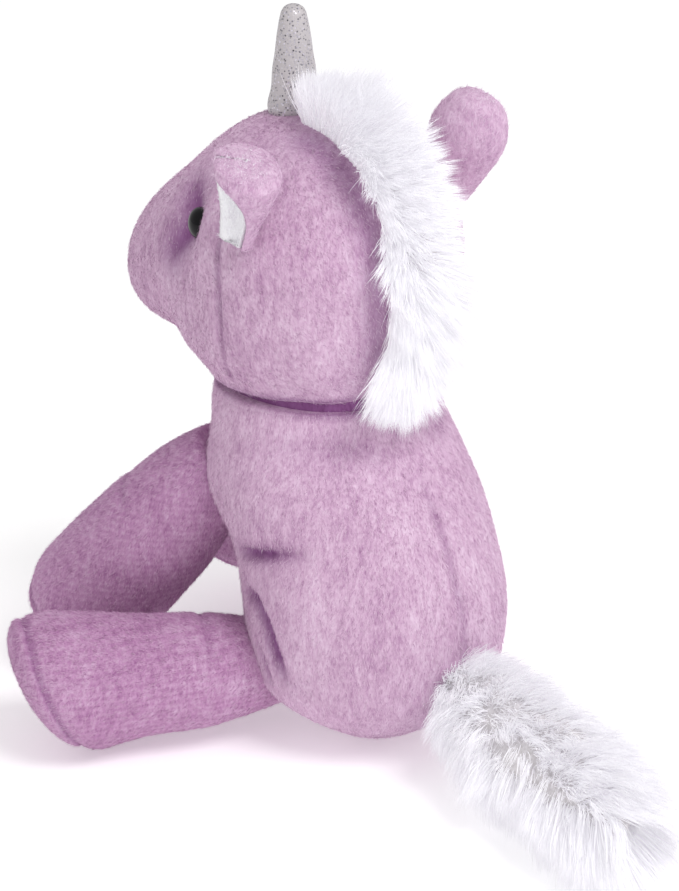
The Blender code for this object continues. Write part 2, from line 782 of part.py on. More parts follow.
def nose_and_mouth(parent):
    """Embroidered nostrils and a small smile on the muzzle's front."""
    wide, high = NOSTRIL_HALF
    for side, sign in (("left", 1), ("right", -1)):
        angle = NOSTRIL_ACROSS if sign > 0 else math.pi - NOSTRIL_ACROSS
        point = offset(head_point, NOSTRIL_Y, angle, -0.5 * MM)
        out = (point - offset(head_point, NOSTRIL_Y, angle, 1 * MM)).normalized()
        turn = out.to_track_quat("Z", "Y")
        rings = [
            [point + turn @ Vector((r * wide * math.cos(a), r * high * math.sin(a), h * MM))
             for a in steps(0, 2 * math.pi, 12)[:-1]]
            for r, h in NOSTRIL_PROFILE
        ]
        add_object("nostril_" + side, tube(rings), "purple_thread", parent)
    rings = []
    for share in steps(-1, 1, 10):
        y = MOUTH_Y + MOUTH_CURVE * share * share
        angle = -math.pi / 2 + share * MOUTH_HALF_ANGLE
        spot = offset(head_point, y, angle, -THREAD - GAP / 2)
        out = (spot - offset(head_point, y, angle, 0)).normalized()
        rings.append([
            spot + (out * math.cos(a) + Vector((0, 1, 0)) * math.sin(a)) * THREAD
            for a in steps(0, 2 * math.pi, 8)[:-1]
        ])
    add_object("mouth_stitch", tube(rings), "purple_thread", parent)


def main():
    clear_scene()
    torso(sockets() + hip_clearances())
    legs()
    neck = empty_at("neck_joint", NECK)
    neck_pieces(neck)
    head_empty = empty_at("head_joint", NECK)
    head(head_empty)
    mane(head_empty)
    nose_and_mouth(head_empty)
    horn(empty_at("horn_joint", HORN_BASE))
    for side, sign in (("left", 1), ("right", -1)):
        ear(side, sign)
    tail()


main()
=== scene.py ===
"""Looks of the seated plush unicorn: sewn lilac skins, their pile, white fur, horn and eyes.

The toy faces -Y, its left side is +X. Lengths in the tables are millimetres.
"""

import math

import bmesh
import bpy
import numpy as np
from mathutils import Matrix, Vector


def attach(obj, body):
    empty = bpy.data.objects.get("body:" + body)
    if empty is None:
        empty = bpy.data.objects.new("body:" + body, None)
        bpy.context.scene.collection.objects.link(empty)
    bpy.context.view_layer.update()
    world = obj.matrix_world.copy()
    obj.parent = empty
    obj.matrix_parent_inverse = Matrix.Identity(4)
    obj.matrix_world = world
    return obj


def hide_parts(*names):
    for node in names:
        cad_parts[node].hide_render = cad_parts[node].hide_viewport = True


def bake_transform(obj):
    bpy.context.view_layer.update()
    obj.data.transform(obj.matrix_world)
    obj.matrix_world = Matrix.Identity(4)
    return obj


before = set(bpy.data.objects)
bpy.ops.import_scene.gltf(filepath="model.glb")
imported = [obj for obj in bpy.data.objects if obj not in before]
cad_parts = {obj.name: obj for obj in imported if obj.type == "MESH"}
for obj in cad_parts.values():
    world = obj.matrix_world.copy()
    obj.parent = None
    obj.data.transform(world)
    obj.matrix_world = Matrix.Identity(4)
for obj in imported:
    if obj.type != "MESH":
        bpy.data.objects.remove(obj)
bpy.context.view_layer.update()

MM = 0.001
SIDES = (("left", 1), ("right", -1))
FLAT = ((1, 0, 0), (0, 1, 0))    # the two directions of a level circle

# Where the toy bends (mm)
NECK = np.array((0, -25, 108.0))
SHOULDER = np.array((24, -54, 74.5))
HIP = np.array((27, -25, 23.0))
TAIL_BASE = np.array((0, 33, 24.0))
HORN_BASE = np.array((0, -38.8, 189.0))
HIND_YAW = {"left": 57, "right": 50}
FRONT_YAW = {"left": 18, "right": 16}
FRONT_DROP = {"left": 48, "right": 40}
HIND_DROP = {"left": 0, "right": 0}
TAIL_YAW, TAIL_DROP = 164, 3

# Colours
LILAC = (0.62, 0.415, 0.575)
LILAC_DEEP = (0.36, 0.175, 0.335)
LILAC_TIP = (0.79, 0.62, 0.76)
# The legs' colours are the body's lilac painted darker: painted shade on the same fabric
SHADED_LEG_LILAC = (0.50, 0.27, 0.455)
SHADED_LEG_DEEP = (0.28, 0.10, 0.255)
SHADED_LEG_TIP = (0.66, 0.47, 0.63)
WHITE = (0.90, 0.89, 0.92)
WHITE_SHADE = (0.70, 0.66, 0.72)
WHITE_TIP = (0.93, 0.93, 0.94)
CREASE_SHADE_TINT = (0.30, 0.11, 0.33)    # painted shade: multiplies the fabric's colour inside a crease
UNDERFUR_DARK, UNDERFUR_LIGHT = (0.64, 0.61, 0.62), (0.80, 0.77, 0.79)
EYE_DARK, EYE_LIGHT = (0.0015, 0.001, 0.002), (0.003, 0.002, 0.004)
THREAD_DARK, THREAD_LIGHT = (0.10, 0.025, 0.12), (0.24, 0.08, 0.27)
HORN_CLOTH, DARK_DOT, BRIGHT_DOT = (0.52, 0.485, 0.50), (0.10, 0.095, 0.11), (0.80, 0.76, 0.86)

# Hair tones, most common first
HAIR_SHARES = (0.42, 0.38, 0.20)
FUR_HUES = ((0.93, 0.925, 0.95), (0.89, 0.88, 0.91), (0.82, 0.80, 0.84))
BODY_HUES = ((0.77, 0.585, 0.73), (0.65, 0.44, 0.605), (0.47, 0.265, 0.44))
EAR_HUES = ((0.83, 0.67, 0.81), (0.75, 0.56, 0.72), (0.62, 0.42, 0.59))
# the legs' hair tones carry the same painted shade
SHADED_LEG_HUES = ((0.66, 0.44, 0.61), (0.53, 0.295, 0.485), (0.37, 0.16, 0.335))
# painted light: emission strength of the white fur
FUR_PAINTED_GLOW = 0.155

# Torso sections: height, middle's Y, half width, half depth
TORSO = (
    (0, -3, 6, 5.5),
    (0.6, -3, 9.5, 9),
    (2.5, -3, 14, 13.2),
    (5.5, -3, 19.2, 18.4),
    (9, -3.2, 25, 24),
    (13, -3.6, 30.4, 29.2),
    (20, -4, 37.2, 35.4),
    (30, -4.2, 40.2, 38.2),
    (45, -4.6, 41.2, 39.2),
    (60, -8.2, 40.8, 38.8),
    (75, -14.2, 40.4, 38.4),
    (88, -20.4, 38.4, 36.4),
    (98, -24, 36.2, 34.2),
    (105.5, -25, 35.4, 33.6),
    (108.6, -25, 34.6, 33),
    (110.6, -25, 33.2, 32),
    (111, -25, 30.8, 30.2),
)

# Head sections, nape to nose: Y, middle's height, half width, height above, depth below,
# and how square the lower half is
HEAD = (
    (14, 148.5, 0, 0, 0, 2),
    (13.3, 148.5, 8, 7.5, 11, 2),
    (10.5, 148.5, 18, 16.5, 25, 2.3),
    (4, 149, 28.5, 27.5, 36.5, 2.9),
    (-10, 150, 38, 37.5, 42, 3.6),
    (-29, 149.5, 42, 41, 42, 4.2),
    (-46, 149, 39, 39.5, 41.5, 3.4),
    (-58, 146, 35.5, 36.5, 36, 2.2),
    (-70, 141, 31, 31.5, 28.2, 2),
    (-81, 137, 27, 26.5, 23.8, 2),
    (-88.4, 135, 23, 22, 20.2, 2),
    (-94.4, 134, 16.5, 15.5, 14.6, 2),
    (-98, 134, 7, 6.5, 6.4, 2),
    (-98.7, 134, 0, 0, 0, 2),
)

# Legs: share of the length and radius
HIND_RADII = ((0, 17.3), (0.2, 18), (0.45, 18.6), (0.7, 20.2), (0.9, 21.3), (1, 20.2))
FRONT_RADII = ((0, 17.4), (0.2, 19.4), (0.45, 20.2), (0.7, 20.4), (0.9, 20.2), (1, 18.6))
HIND_LENGTH, FRONT_LENGTH, SOLE_BULGE = 80, 78, 6.5


# ---------------------------------------------------------------- curves and fields

def along(table, t):
    """Smooth interpolation of the table's columns at the first column's values t."""
    rows = np.array(table, float)
    keys, values = rows[:, 0], rows[:, 1:]
    if keys[0] > keys[-1]:
        keys, values = keys[::-1], values[::-1]
    slopes = np.gradient(values, keys, axis=0)
    t = np.clip(np.asarray(t, float), keys[0], keys[-1])
    i = np.clip(np.searchsorted(keys, t, side="right") - 1, 0, len(keys) - 2)
    h = keys[i + 1] - keys[i]
    s = ((t - keys[i]) / h)[..., None]
    h = h[..., None]
    return (
        values[i] * (2 * s**3 - 3 * s**2 + 1) + slopes[i] * h * (s**3 - 2 * s**2 + s)
        + values[i + 1] * (3 * s**2 - 2 * s**3) + slopes[i + 1] * h * (s**3 - s**2)
    )


def distance_to_line(points, line):
    """Each point's distance to a polyline, and how far along it the nearest place is (0 to 1)."""
    line = np.array(line, float)
    lengths = np.linalg.norm(np.diff(line, axis=0), axis=1)
    before = np.concatenate(([0], np.cumsum(lengths)))
    best = np.full(len(points), 1e9)
    share = np.zeros(len(points))
    for k, length in enumerate(lengths):
        step = line[k + 1] - line[k]
        s = np.clip((points - line[k]) @ step / length**2, 0, 1)
        d = np.linalg.norm(points - (line[k] + s[:, None] * step), axis=1)
        closer = d < best
        best[closer] = d[closer]
        share[closer] = (before[k] + s[closer] * length) / before[-1]
    return best, share


def unit(vectors):
    return vectors / np.maximum(np.linalg.norm(vectors, axis=-1, keepdims=True), 1e-9)


def bell(distance, width):
    return np.exp(-((distance / width) ** 2))


def rested(heights, floor, soft):
    """Heights pressed flat near the floor, rounding off over the soft distance."""
    top = floor + soft
    return np.where(heights < top, floor + soft * np.exp((heights - top) / soft), heights)


def ripple(points, scale, seed):
    """Gentle unevenness, about -1 to 1, from a few crossing waves."""
    random = np.random.default_rng(seed)
    total = np.zeros(len(points))
    for _ in range(7):
        way = random.normal(size=3)
        way /= np.linalg.norm(way)
        total += np.sin(points @ way / scale * random.uniform(0.7, 1.4) + random.uniform(0, 6.3))
    return total / 3


def ripples(points, scale, seeds):
    return np.stack([ripple(points, scale, seed) for seed in seeds], axis=1)


# ---------------------------------------------------------------- mesh building

def grid_mesh(name, points, cap_start=False, cap_end=False):
    """A mesh through rows of closed rings of points, in millimetres."""
    rows, columns = points.shape[:2]
    corners = points.reshape(-1, 3)
    i, j = np.meshgrid(np.arange(rows - 1), np.arange(columns), indexing="ij")
    after = (j + 1) % columns
    quads = np.stack(
        (i * columns + j, i * columns + after, (i + 1) * columns + after, (i + 1) * columns + j),
        axis=-1,
    ).reshape(-1, 4).tolist()
    extra = []
    for wanted, row in ((cap_start, 0), (cap_end, rows - 1)):
        if wanted:
            centre = len(corners) + len(extra)
            extra.append(points[row].mean(axis=0))
            for k in range(columns):
                quads.append([centre, row * columns + k, row * columns + (k + 1) % columns])
    if extra:
        corners = np.concatenate((corners, np.array(extra)))
    mesh = bpy.data.meshes.new(name)
    mesh.from_pydata((corners * MM).tolist(), [], quads)
    mesh.update()
    return mesh


def tidy_normals(mesh):
    build = bmesh.new()
    build.from_mesh(mesh)
    bmesh.ops.remove_doubles(build, verts=build.verts, dist=2e-6)
    bmesh.ops.recalc_face_normals(build, faces=build.faces)
    build.to_mesh(mesh)
    build.free()
    mesh.shade_smooth()


def add(name, mesh, material):
    obj = bpy.data.objects.new(name, mesh)
    bpy.context.scene.collection.objects.link(obj)
    mesh.materials.clear()
    mesh.materials.append(material)
    return obj


def points_of(mesh):
    co = np.empty(len(mesh.vertices) * 3, np.float32)
    mesh.vertices.foreach_get("co", co)
    return co.reshape(-1, 3).astype(float) / MM


def normals_of(mesh):
    n = np.empty(len(mesh.vertices) * 3, np.float32)
    mesh.vertex_normals.foreach_get("vector", n)
    return n.reshape(-1, 3).astype(float)


def set_points(mesh, points):
    mesh.vertices.foreach_set("co", (points * MM).astype(np.float32).ravel())
    mesh.update()


def store(mesh, name, values):
    layer = mesh.attributes.get(name) or mesh.attributes.new(name, "FLOAT", "POINT")
    layer.data.foreach_set("value", np.asarray(values, np.float32))


def sew(mesh, folds):
    """Pulls the surface in along each fold's line, and stores painted shade along it as a point
    attribute.

    A fold is (line, width, depth, shade, taper): shade is how dark the painted shade is; taper
    fades it out towards its ends.
    """
    points, normals = points_of(mesh), normals_of(mesh)
    pull = np.zeros(len(points))
    crease = np.zeros(len(points))
    for line, width, depth, shade, taper in folds:
        distance, share = distance_to_line(points, line)
        fade = np.clip(np.minimum(share, 1 - share) / taper, 0, 1) if taper else 1.0
        pull += depth * bell(distance, width) * fade
        crease = np.maximum(crease, shade * bell(distance, width * 1.25) * fade)
    set_points(mesh, points - normals * pull[:, None])
    store(mesh, "crease", crease)


# ---------------------------------------------------------------- materials

def new_material(name):
    made = bpy.data.materials.new(name)
    made.use_nodes = True
    nodes = made.node_tree.nodes
    return made, nodes, made.node_tree.links, nodes["Principled BSDF"]


def node(nodes, kind, **settings):
    made = nodes.new(kind)
    for key, value in settings.items():
        if key in made.inputs:
            made.inputs[key].default_value = value
        else:
            setattr(made, key, value)
    return made


def settle(shader, values):
    for name, value in values.items():
        shader.inputs[name].default_value = value


def ramp(nodes, stops):
    made = nodes.new("ShaderNodeValToRGB")
    elements = made.color_ramp.elements
    while len(elements) < len(stops):
        elements.new(0.5)
    for element, (place, colour) in zip(elements, stops):
        element.position = place
        element.color = (*colour, 1)
    return made


NAP_STRETCH = (1.0, 1.0, 0.35)    # the nap's streaks run up and down


def pile_material(name, deep, middle, tip, rib):
    """Brushed knitted pile: clumps and streaks of nap, faint ribs, and painted shade in its
    creases.
    """
    made, nodes, links, shader = new_material(name)
    where = node(nodes, "ShaderNodeTexCoord")
    warp = node(nodes, "ShaderNodeTexNoise", Scale=60.0, Detail=2.0)
    links.new(where.outputs["Object"], warp.inputs["Vector"])
    bent = node(nodes, "ShaderNodeMixRGB", blend_type="LINEAR_LIGHT")
    bent.inputs["Fac"].default_value = 0.0015
    links.new(where.outputs["Object"], bent.inputs["Color1"])
    links.new(warp.outputs["Color"], bent.inputs["Color2"])
    stretch = node(nodes, "ShaderNodeMapping")
    stretch.inputs["Scale"].default_value = NAP_STRETCH
    links.new(bent.outputs["Color"], stretch.inputs["Vector"])
    fine = node(nodes, "ShaderNodeTexNoise", Scale=1500.0, Detail=3.0, Roughness=0.65)
    clump = node(nodes, "ShaderNodeTexNoise", Scale=420.0, Detail=2.0, Roughness=0.6)
    broad = node(nodes, "ShaderNodeTexNoise", Scale=55.0, Detail=3.0, Roughness=0.55)
    for texture in (fine, clump, broad):
        links.new(stretch.outputs["Vector"], texture.inputs["Vector"])
    ribs = node(nodes, "ShaderNodeTexWave", wave_type="BANDS", bands_direction="Z")
    ribs.inputs["Scale"].default_value = 145.0
    ribs.inputs["Distortion"].default_value = 1.5
    links.new(where.outputs["Object"], ribs.inputs["Vector"])

    def blend(a, b, share):
        mix = node(nodes, "ShaderNodeMix", data_type="FLOAT")
        mix.inputs[0].default_value = share
        links.new(a, mix.inputs[2])
        links.new(b, mix.inputs[3])
        return mix.outputs[0]

    tone = blend(fine.outputs["Fac"], clump.outputs["Fac"], 0.5)
    tone = blend(tone, broad.outputs["Fac"], 0.27)
    tone = blend(tone, ribs.outputs["Fac"], 0.05 * rib)
    colours = ramp(nodes, ((0.32, deep), (0.50, middle), (0.68, tip)))
    links.new(tone, colours.inputs["Fac"])
    # painted shade: darkens the nap's colour by the stored shade amount
    crease = node(nodes, "ShaderNodeAttribute", attribute_name="crease")
    paint_crease_shade = node(nodes, "ShaderNodeMixRGB", blend_type="MULTIPLY")
    paint_crease_shade.inputs["Color2"].default_value = (*CREASE_SHADE_TINT, 1)
    links.new(crease.outputs["Fac"], paint_crease_shade.inputs["Fac"])
    links.new(colours.outputs["Color"], paint_crease_shade.inputs["Color1"])
    links.new(paint_crease_shade.outputs["Color"], shader.inputs["Base Color"])
    bump = node(nodes, "ShaderNodeBump", Strength=0.55, Distance=0.0006)
    links.new(tone, bump.inputs["Height"])
    links.new(bump.outputs["Normal"], shader.inputs["Normal"])
    settle(shader, {"Roughness": 0.95, "Specular IOR Level": 0.1, "Sheen Weight": 0.35,
                    "Sheen Roughness": 0.5, "Sheen Tint": (*tip, 1)})
    return made


def hair_material(name, colour, roughness, painted_glow):
    """One tone of hair: each hair takes one of several of these.

    Its emission is painted light: it stands for the light that passes through thin white hair
    from its neighbours.
    """
    made, _, _, shader = new_material(name)
    settle(shader, {"Base Color": (*colour, 1), "Emission Color": (*colour, 1),
                    "Emission Strength": painted_glow, "Roughness": roughness,
                    "Specular IOR Level": 0.15, "Sheen Weight": 0.2})
    return made


def hair_tones(name, hues, roughness=0.9, painted_glow=0.0):
    return [hair_material(f"{name}_{k}", hue, roughness, painted_glow) for k, hue in enumerate(hues)]


def plain(name, colour, roughness):
    made, _, _, shader = new_material(name)
    settle(shader, {"Base Color": (*colour, 1), "Roughness": roughness})
    return made


def horn_material():
    """Silvery fabric printed with small foil dots that catch different colours."""
    made, nodes, links, shader = new_material("horn_foil")
    where = node(nodes, "ShaderNodeTexCoord")
    dots = node(nodes, "ShaderNodeTexVoronoi", Scale=1300.0, feature="F1")
    dots.inputs["Randomness"].default_value = 0.75
    links.new(where.outputs["Object"], dots.inputs["Vector"])
    spots = ramp(nodes, ((0.28, (1, 1, 1)), (0.42, (0, 0, 0))))
    links.new(dots.outputs["Distance"], spots.inputs["Fac"])
    hue = node(nodes, "ShaderNodeMixRGB", blend_type="MIX")
    hue.inputs["Color1"].default_value = (*DARK_DOT, 1)
    hue.inputs["Color2"].default_value = (*BRIGHT_DOT, 1)
    split = node(nodes, "ShaderNodeSeparateColor")
    links.new(dots.outputs["Color"], split.inputs["Color"])
    links.new(split.outputs["Red"], hue.inputs["Fac"])
    cloth = node(nodes, "ShaderNodeMixRGB", blend_type="MIX")
    cloth.inputs["Color1"].default_value = (*HORN_CLOTH, 1)
    links.new(spots.outputs["Color"], cloth.inputs["Fac"])
    links.new(hue.outputs["Color"], cloth.inputs["Color2"])
    links.new(cloth.outputs["Color"], shader.inputs["Base Color"])
    links.new(spots.outputs["Color"], shader.inputs["Metallic"])
    shader.inputs["Roughness"].default_value = 0.38
    bump = node(nodes, "ShaderNodeBump", Strength=0.4, Distance=0.0003)
    links.new(dots.outputs["Distance"], bump.inputs["Height"])
    links.new(bump.outputs["Normal"], shader.inputs["Normal"])
    return made


def thread_material():
    """Embroidery thread: fine parallel strands with a soft gloss."""
    made, nodes, links, shader = new_material("embroidery_thread")
    where = node(nodes, "ShaderNodeTexCoord")
    strands = node(nodes, "ShaderNodeTexWave", wave_type="BANDS", bands_direction="DIAGONAL")
    strands.inputs["Scale"].default_value = 900.0
    strands.inputs["Distortion"].default_value = 2.0
    links.new(where.outputs["Object"], strands.inputs["Vector"])
    colours = ramp(nodes, ((0.2, THREAD_DARK), (0.8, THREAD_LIGHT)))
    links.new(strands.outputs["Fac"], colours.inputs["Fac"])
    links.new(colours.outputs["Color"], shader.inputs["Base Color"])
    shader.inputs["Roughness"].default_value = 0.55
    bump = node(nodes, "ShaderNodeBump", Strength=0.5, Distance=0.0002)
    links.new(strands.outputs["Fac"], bump.inputs["Height"])
    links.new(bump.outputs["Normal"], shader.inputs["Normal"])
    return made


def mottled(name, dark, light, scale, roughness, specular):
    """A finish whose colour and gloss both vary a little over the surface."""
    made, nodes, links, shader = new_material(name)
    where = node(nodes, "ShaderNodeTexCoord")
    noise = node(nodes, "ShaderNodeTexNoise", Scale=scale, Detail=3.0)
    links.new(where.outputs["Object"], noise.inputs["Vector"])
    colours = ramp(nodes, ((0.35, dark), (0.65, light)))
    links.new(noise.outputs["Fac"], colours.inputs["Fac"])
    links.new(colours.outputs["Color"], shader.inputs["Base Color"])
    gloss = node(nodes, "ShaderNodeMapRange")
    gloss.inputs["To Min"].default_value = roughness[0]
    gloss.inputs["To Max"].default_value = roughness[1]
    links.new(noise.outputs["Fac"], gloss.inputs["Value"])
    links.new(gloss.outputs["Result"], shader.inputs["Roughness"])
    shader.inputs["Specular IOR Level"].default_value = specular
    return made


LILAC_PILE = pile_material("lilac_pile", LILAC_DEEP, LILAC, LILAC_TIP, rib=0.25)
# the sleeves' pile uses the darker leg colours, which are painted shade
SHADED_SLEEVE_PILE = pile_material("lilac_pile_sleeves", SHADED_LEG_DEEP, SHADED_LEG_LILAC, SHADED_LEG_TIP, rib=0.9)
WHITE_PILE = pile_material("white_pile", WHITE_SHADE, WHITE, WHITE_TIP, rib=0.0)
FUR_TONES = hair_tones("white_fur", FUR_HUES, 0.75, FUR_PAINTED_GLOW)
PILE_TONES = hair_tones("lilac_hair", BODY_HUES)
EAR_TONES = hair_tones("ear_hair", EAR_HUES)
# painted shade: the legs' hair in darker tones
SHADED_LEG_TONES = hair_tones("leg_hair", SHADED_LEG_HUES)
UNDERFUR = mottled("white_underfur", UNDERFUR_DARK, UNDERFUR_LIGHT,
                   scale=900.0, roughness=(0.85, 0.95), specular=0.15)
HORN_FOIL = horn_material()
EYE_BLACK = mottled("eye_black", EYE_DARK, EYE_LIGHT,
                    scale=400.0, roughness=(0.08, 0.14), specular=0.22)
THREAD = thread_material()


# ---------------------------------------------------------------- torso and head

def lofted(rows, angles, section):
    """Rows by angles grid of points from a section function."""
    grid = np.empty((len(rows), len(angles), 3))
    for i, row in enumerate(rows):
        grid[i] = section(row, angles)
    return grid


def torso_section(z, angles):
    middle, wide, deep = along(TORSO, z)
    return np.stack(
        (wide * np.cos(angles), middle + deep * np.sin(angles), np.full(len(angles), z)), axis=-1
    )


def head_section(y, angles):
    middle, wide, high, low, square = along(HEAD, y)
    cosine, sine = np.cos(angles), np.sin(angles)
    power = np.where(sine >= 0, 1.0, 2 / square)
    x = np.sign(cosine) * np.abs(cosine) ** power * wide
    z = middle + np.where(sine >= 0, high * sine, -low * np.abs(sine) ** power)
    return np.stack((x, np.full(len(angles), y), z), axis=-1)


def eased(start, end, count):
    s = np.linspace(0, math.pi, count + 1)
    return start + (end - start) * (1 - np.cos(s)) / 2


def turn_of(count):
    return np.linspace(0, 2 * math.pi, count + 1)[:-1]


def ring(centre, radius, across, upward, angles):
    """Points of a circle whose plane is spanned by the two directions."""
    turned = np.cos(angles)[:, None] * across + np.sin(angles)[:, None] * upward
    return centre + radius * turned


def mirrored(line):
    return tuple((-x, y, z) for x, y, z in line)


def both_sides(fold):
    line, *rest = fold
    return [fold, (mirrored(line), *rest)]


def puff(mesh, amount, scale, seed, lumps=()):
    """Swells the surface unevenly, as stuffing does, but not where it rests on the floor."""
    points, normals = points_of(mesh), normals_of(mesh)
    swell = amount * ripple(points, scale, seed)
    for place, height, width in lumps:
        swell += height * bell(np.linalg.norm(points - place, axis=1), width)
    swell *= np.clip(points[:, 2] / 8, 0.1, 1)
    points += normals * swell[:, None]
    points[:, 2] = np.maximum(points[:, 2], 0.05)
    set_points(mesh, points)


# Seams and folds, as lines on the surface of the middle or the left side
CENTRE_BACK = ((0.5, 8, 108), (1, 13, 97), (1.5, 17.5, 88), (1.8, 25.5, 73), (2, 30, 61),
               (2, 34, 50), (2, 34.6, 43), (1.5, 34, 30), (0.5, 29, 18), (0, 20, 8))
CENTRE_FRONT = ((0, -57, 108), (0, -57, 88), (0, -52, 75), (0, -47, 60), (0, -44, 45),
                (0, -42, 30), (0, -36, 18), (0, -26, 7))
WAIST_LEFT = ((37, -34, 62), (39.6, -20, 65), (40.7, -8, 68.5), (38.9, 0.6, 70.4), (36, 6, 70))
HIP_LEFT = ((35, -26, 52), (39.5, -16, 51), (40.6, -11, 46), (40.4, -8.5, 40), (40, -5.5, 33),
            (38.5, -2, 26))
HIP_LOW_LEFT = ((39.6, -17, 38), (40, -13, 31), (38, -11, 21))
UNDER_NECK = ((34, -25, 98), (29, -10, 99), (20, 3, 99.5), (6, 11.7, 96))
HEAD_SEAM_LEFT = ((5, -30.5, 190), (25, -30, 182), (37, -29.5, 171), (41.2, -28.8, 160),
                  (42, -28, 145), (40.8, -27.5, 130), (38, -27, 116), (35, -27, 111))
FACE_SEAM = ((0, -60, 109), (0, -84, 111), (0, -95, 122), (0, -98.7, 134), (0, -90, 156),
             (0, -70, 172), (0, -55, 182), (0, -44, 189))
EYE_HOLLOW = ((33.5, -52, 169), (36.5, -47.5, 162), (34, -53, 153))
BROW = ((23, -44.5, 181), (33, -42, 173), (37.5, -40.5, 166))
BESIDE_MANE = ((13, -30, 189), (14, -12, 186), (14.5, 1, 177), (15, 8, 165), (15, 11.5, 150),
               (14.5, 10, 138), (13, 6, 126), (12, 2, 118))

# Lumps of stuffing: place, height and width
TORSO_LUMPS = [((37, -14, 84), 1.2, 15), ((-37, -14, 84), 0.6, 15), ((38, 0, 55), 1.2, 12),
               ((-38, 0, 55), 0.8, 12), ((30, -45, 79), 3.8, 13), ((-30, -45, 79), 3.8, 13)]
HEAD_LUMPS_LEFT = [((40.6, -36, 163), 1.6, 4.5), ((41, -36, 155), 1.5, 4.5),
                   ((38.5, -37, 171), 0.9, 5), ((34, -55, 148), 1.2, 8)]


def neck_ring(height, radius):
    """A closed line round the neck."""
    return [(radius * math.cos(a), NECK[1] + radius * math.sin(a), height)
            for a in np.linspace(0, 2 * math.pi, 25)]


def torso():
    rows = np.concatenate((np.linspace(0, 14, 16)[:-1], np.linspace(14, 98, 66),
                           np.linspace(98, 111, 20)[1:]))
    mesh = grid_mesh("torso_skin", lofted(rows, turn_of(180), torso_section), cap_start=True)
    tidy_normals(mesh)
    puff(mesh, 0.35, 9, 3, TORSO_LUMPS)
    # the fourth entry of each fold is painted shade laid along its line
    folds = [(CENTRE_BACK, 1.0, 1.1, 0.42, 0), (CENTRE_FRONT, 1.0, 1.0, 0.4, 0),
             (neck_ring(110, 33), 1.5, 0.2, 0.7, 0)]
    folds += both_sides((WAIST_LEFT, 2.3, 3.3, 1.0, 0.4))
    folds += both_sides((HIP_LEFT, 2.4, 3.3, 1.0, 0.25))
    folds += both_sides((HIP_LOW_LEFT, 1.8, 1.6, 0.5, 0.3))
    folds += both_sides((UNDER_NECK, 3.6, 1.3, 0.3, 0.3))
    sew(mesh, folds)
    obj = add("torso_skin", mesh, LILAC_PILE)
    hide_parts("body_panel_left", "body_panel_right", "seat_gusset", "body_stuffing",
                "pellet_bag")
    finish_skin(obj, lambda piece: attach(piece, "torso"), comb=(0.15, 0.1, -1))


# The head's open end over the body: its radius and height, the height it is drawn in
# below, and the Y ahead of which the muzzle is left alone
NECK_RADIUS, HEAD_FLOOR, DRAWN_BELOW, MUZZLE_FROM = 35.0, 111.0, 124.0, -66.0


def drawn_in(points):
    """The head's points with its neck end narrowed and rolled in over the body."""
    low = np.clip((DRAWN_BELOW - points[:, 2]) / (DRAWN_BELOW - HEAD_FLOOR), 0, 1) ** 1.5
    back = np.clip((points[:, 1] - MUZZLE_FROM) / 10, 0, 1)
    from_axis = points[:, :2] - NECK[:2]
    radius = np.linalg.norm(from_axis, axis=1)
    share = low * back
    factor = 1 - share + share * np.minimum(radius, NECK_RADIUS) / np.maximum(radius, 1)
    points[:, :2] = NECK[:2] + from_axis * factor[:, None]
    points[:, 2] = rested(points[:, 2], HEAD_FLOOR, soft=3)
    return points


def head():
    rows = eased(HEAD[0][0], HEAD[-1][0], 130)
    mesh = grid_mesh("head_skin", lofted(rows, turn_of(170), head_section))
    tidy_normals(mesh)
    set_points(mesh, drawn_in(points_of(mesh)))
    right_lumps = [((-x, y, z), height, width) for (x, y, z), height, width in HEAD_LUMPS_LEFT]
    puff(mesh, 0.3, 10, 5, HEAD_LUMPS_LEFT + right_lumps)
    # the fourth entry of each fold is painted shade: along the seams, round the neck under the
    # head, in the eye hollows, under the brows, and beside the mane where its fur would shade the
    # head
    folds = [(FACE_SEAM, 0.9, 0.5, 0.2, 0), (neck_ring(113.2, 34), 1.8, 0.3, 0.75, 0)]
    folds += both_sides((BESIDE_MANE, 4.5, 0.5, 0.5, 0.1))
    folds += both_sides((HEAD_SEAM_LEFT, 1.0, 1.3, 0.5, 0.12))
    folds += both_sides((EYE_HOLLOW, 6.5, 4.6, 0.95, 0))
    folds += both_sides((BROW, 4.0, 0.9, 0.25, 0.3))
    sew(mesh, folds)
    obj = add("head_skin", mesh, LILAC_PILE)
    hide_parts("face_panel_left", "face_panel_right", "head_back_panel_left",
                "head_back_panel_right", "head_stuffing", "eye_washer_left",
                "eye_washer_right", "neck_stuffing")
    finish_skin(obj, lambda piece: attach(piece, "head"), comb=(0, 0.75, -0.7))


# The neck is a band of a ball: its radius, and how far it reaches up and down
NECK_BALL, NECK_BAND = 32.1, math.radians(22)


def neck_crease():
    """The drawn-in neck between the body and the head."""
    rows = np.linspace(-NECK_BAND, NECK_BAND, 13)
    angles = turn_of(96)
    grid = np.empty((len(rows), len(angles), 3))
    for i, lift in enumerate(rows):
        middle = NECK + (0, 0, NECK_BALL * math.sin(lift))
        grid[i] = ring(middle, NECK_BALL * math.cos(lift), *FLAT, angles)
    mesh = grid_mesh("neck_skin", grid)
    tidy_normals(mesh)
    # painted shade over the whole neck band, where it lies between the body and the head
    store(mesh, "crease", np.full(len(mesh.vertices), 0.9))
    obj = add("neck_skin", mesh, LILAC_PILE)
    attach(obj, "neck")
    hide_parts("neck_band")


def finish_skin(obj, bind, comb, tones=None):
    """Gives a stuffed skin its pile, and hands both to bind: it attaches them to one body, or for
    the legs only bakes their placement.
    """
    hairs = pile(obj, np.array(comb, float), tones or PILE_TONES)
    for piece in [obj] + hairs:
        bind(piece)


# ---------------------------------------------------------------- legs

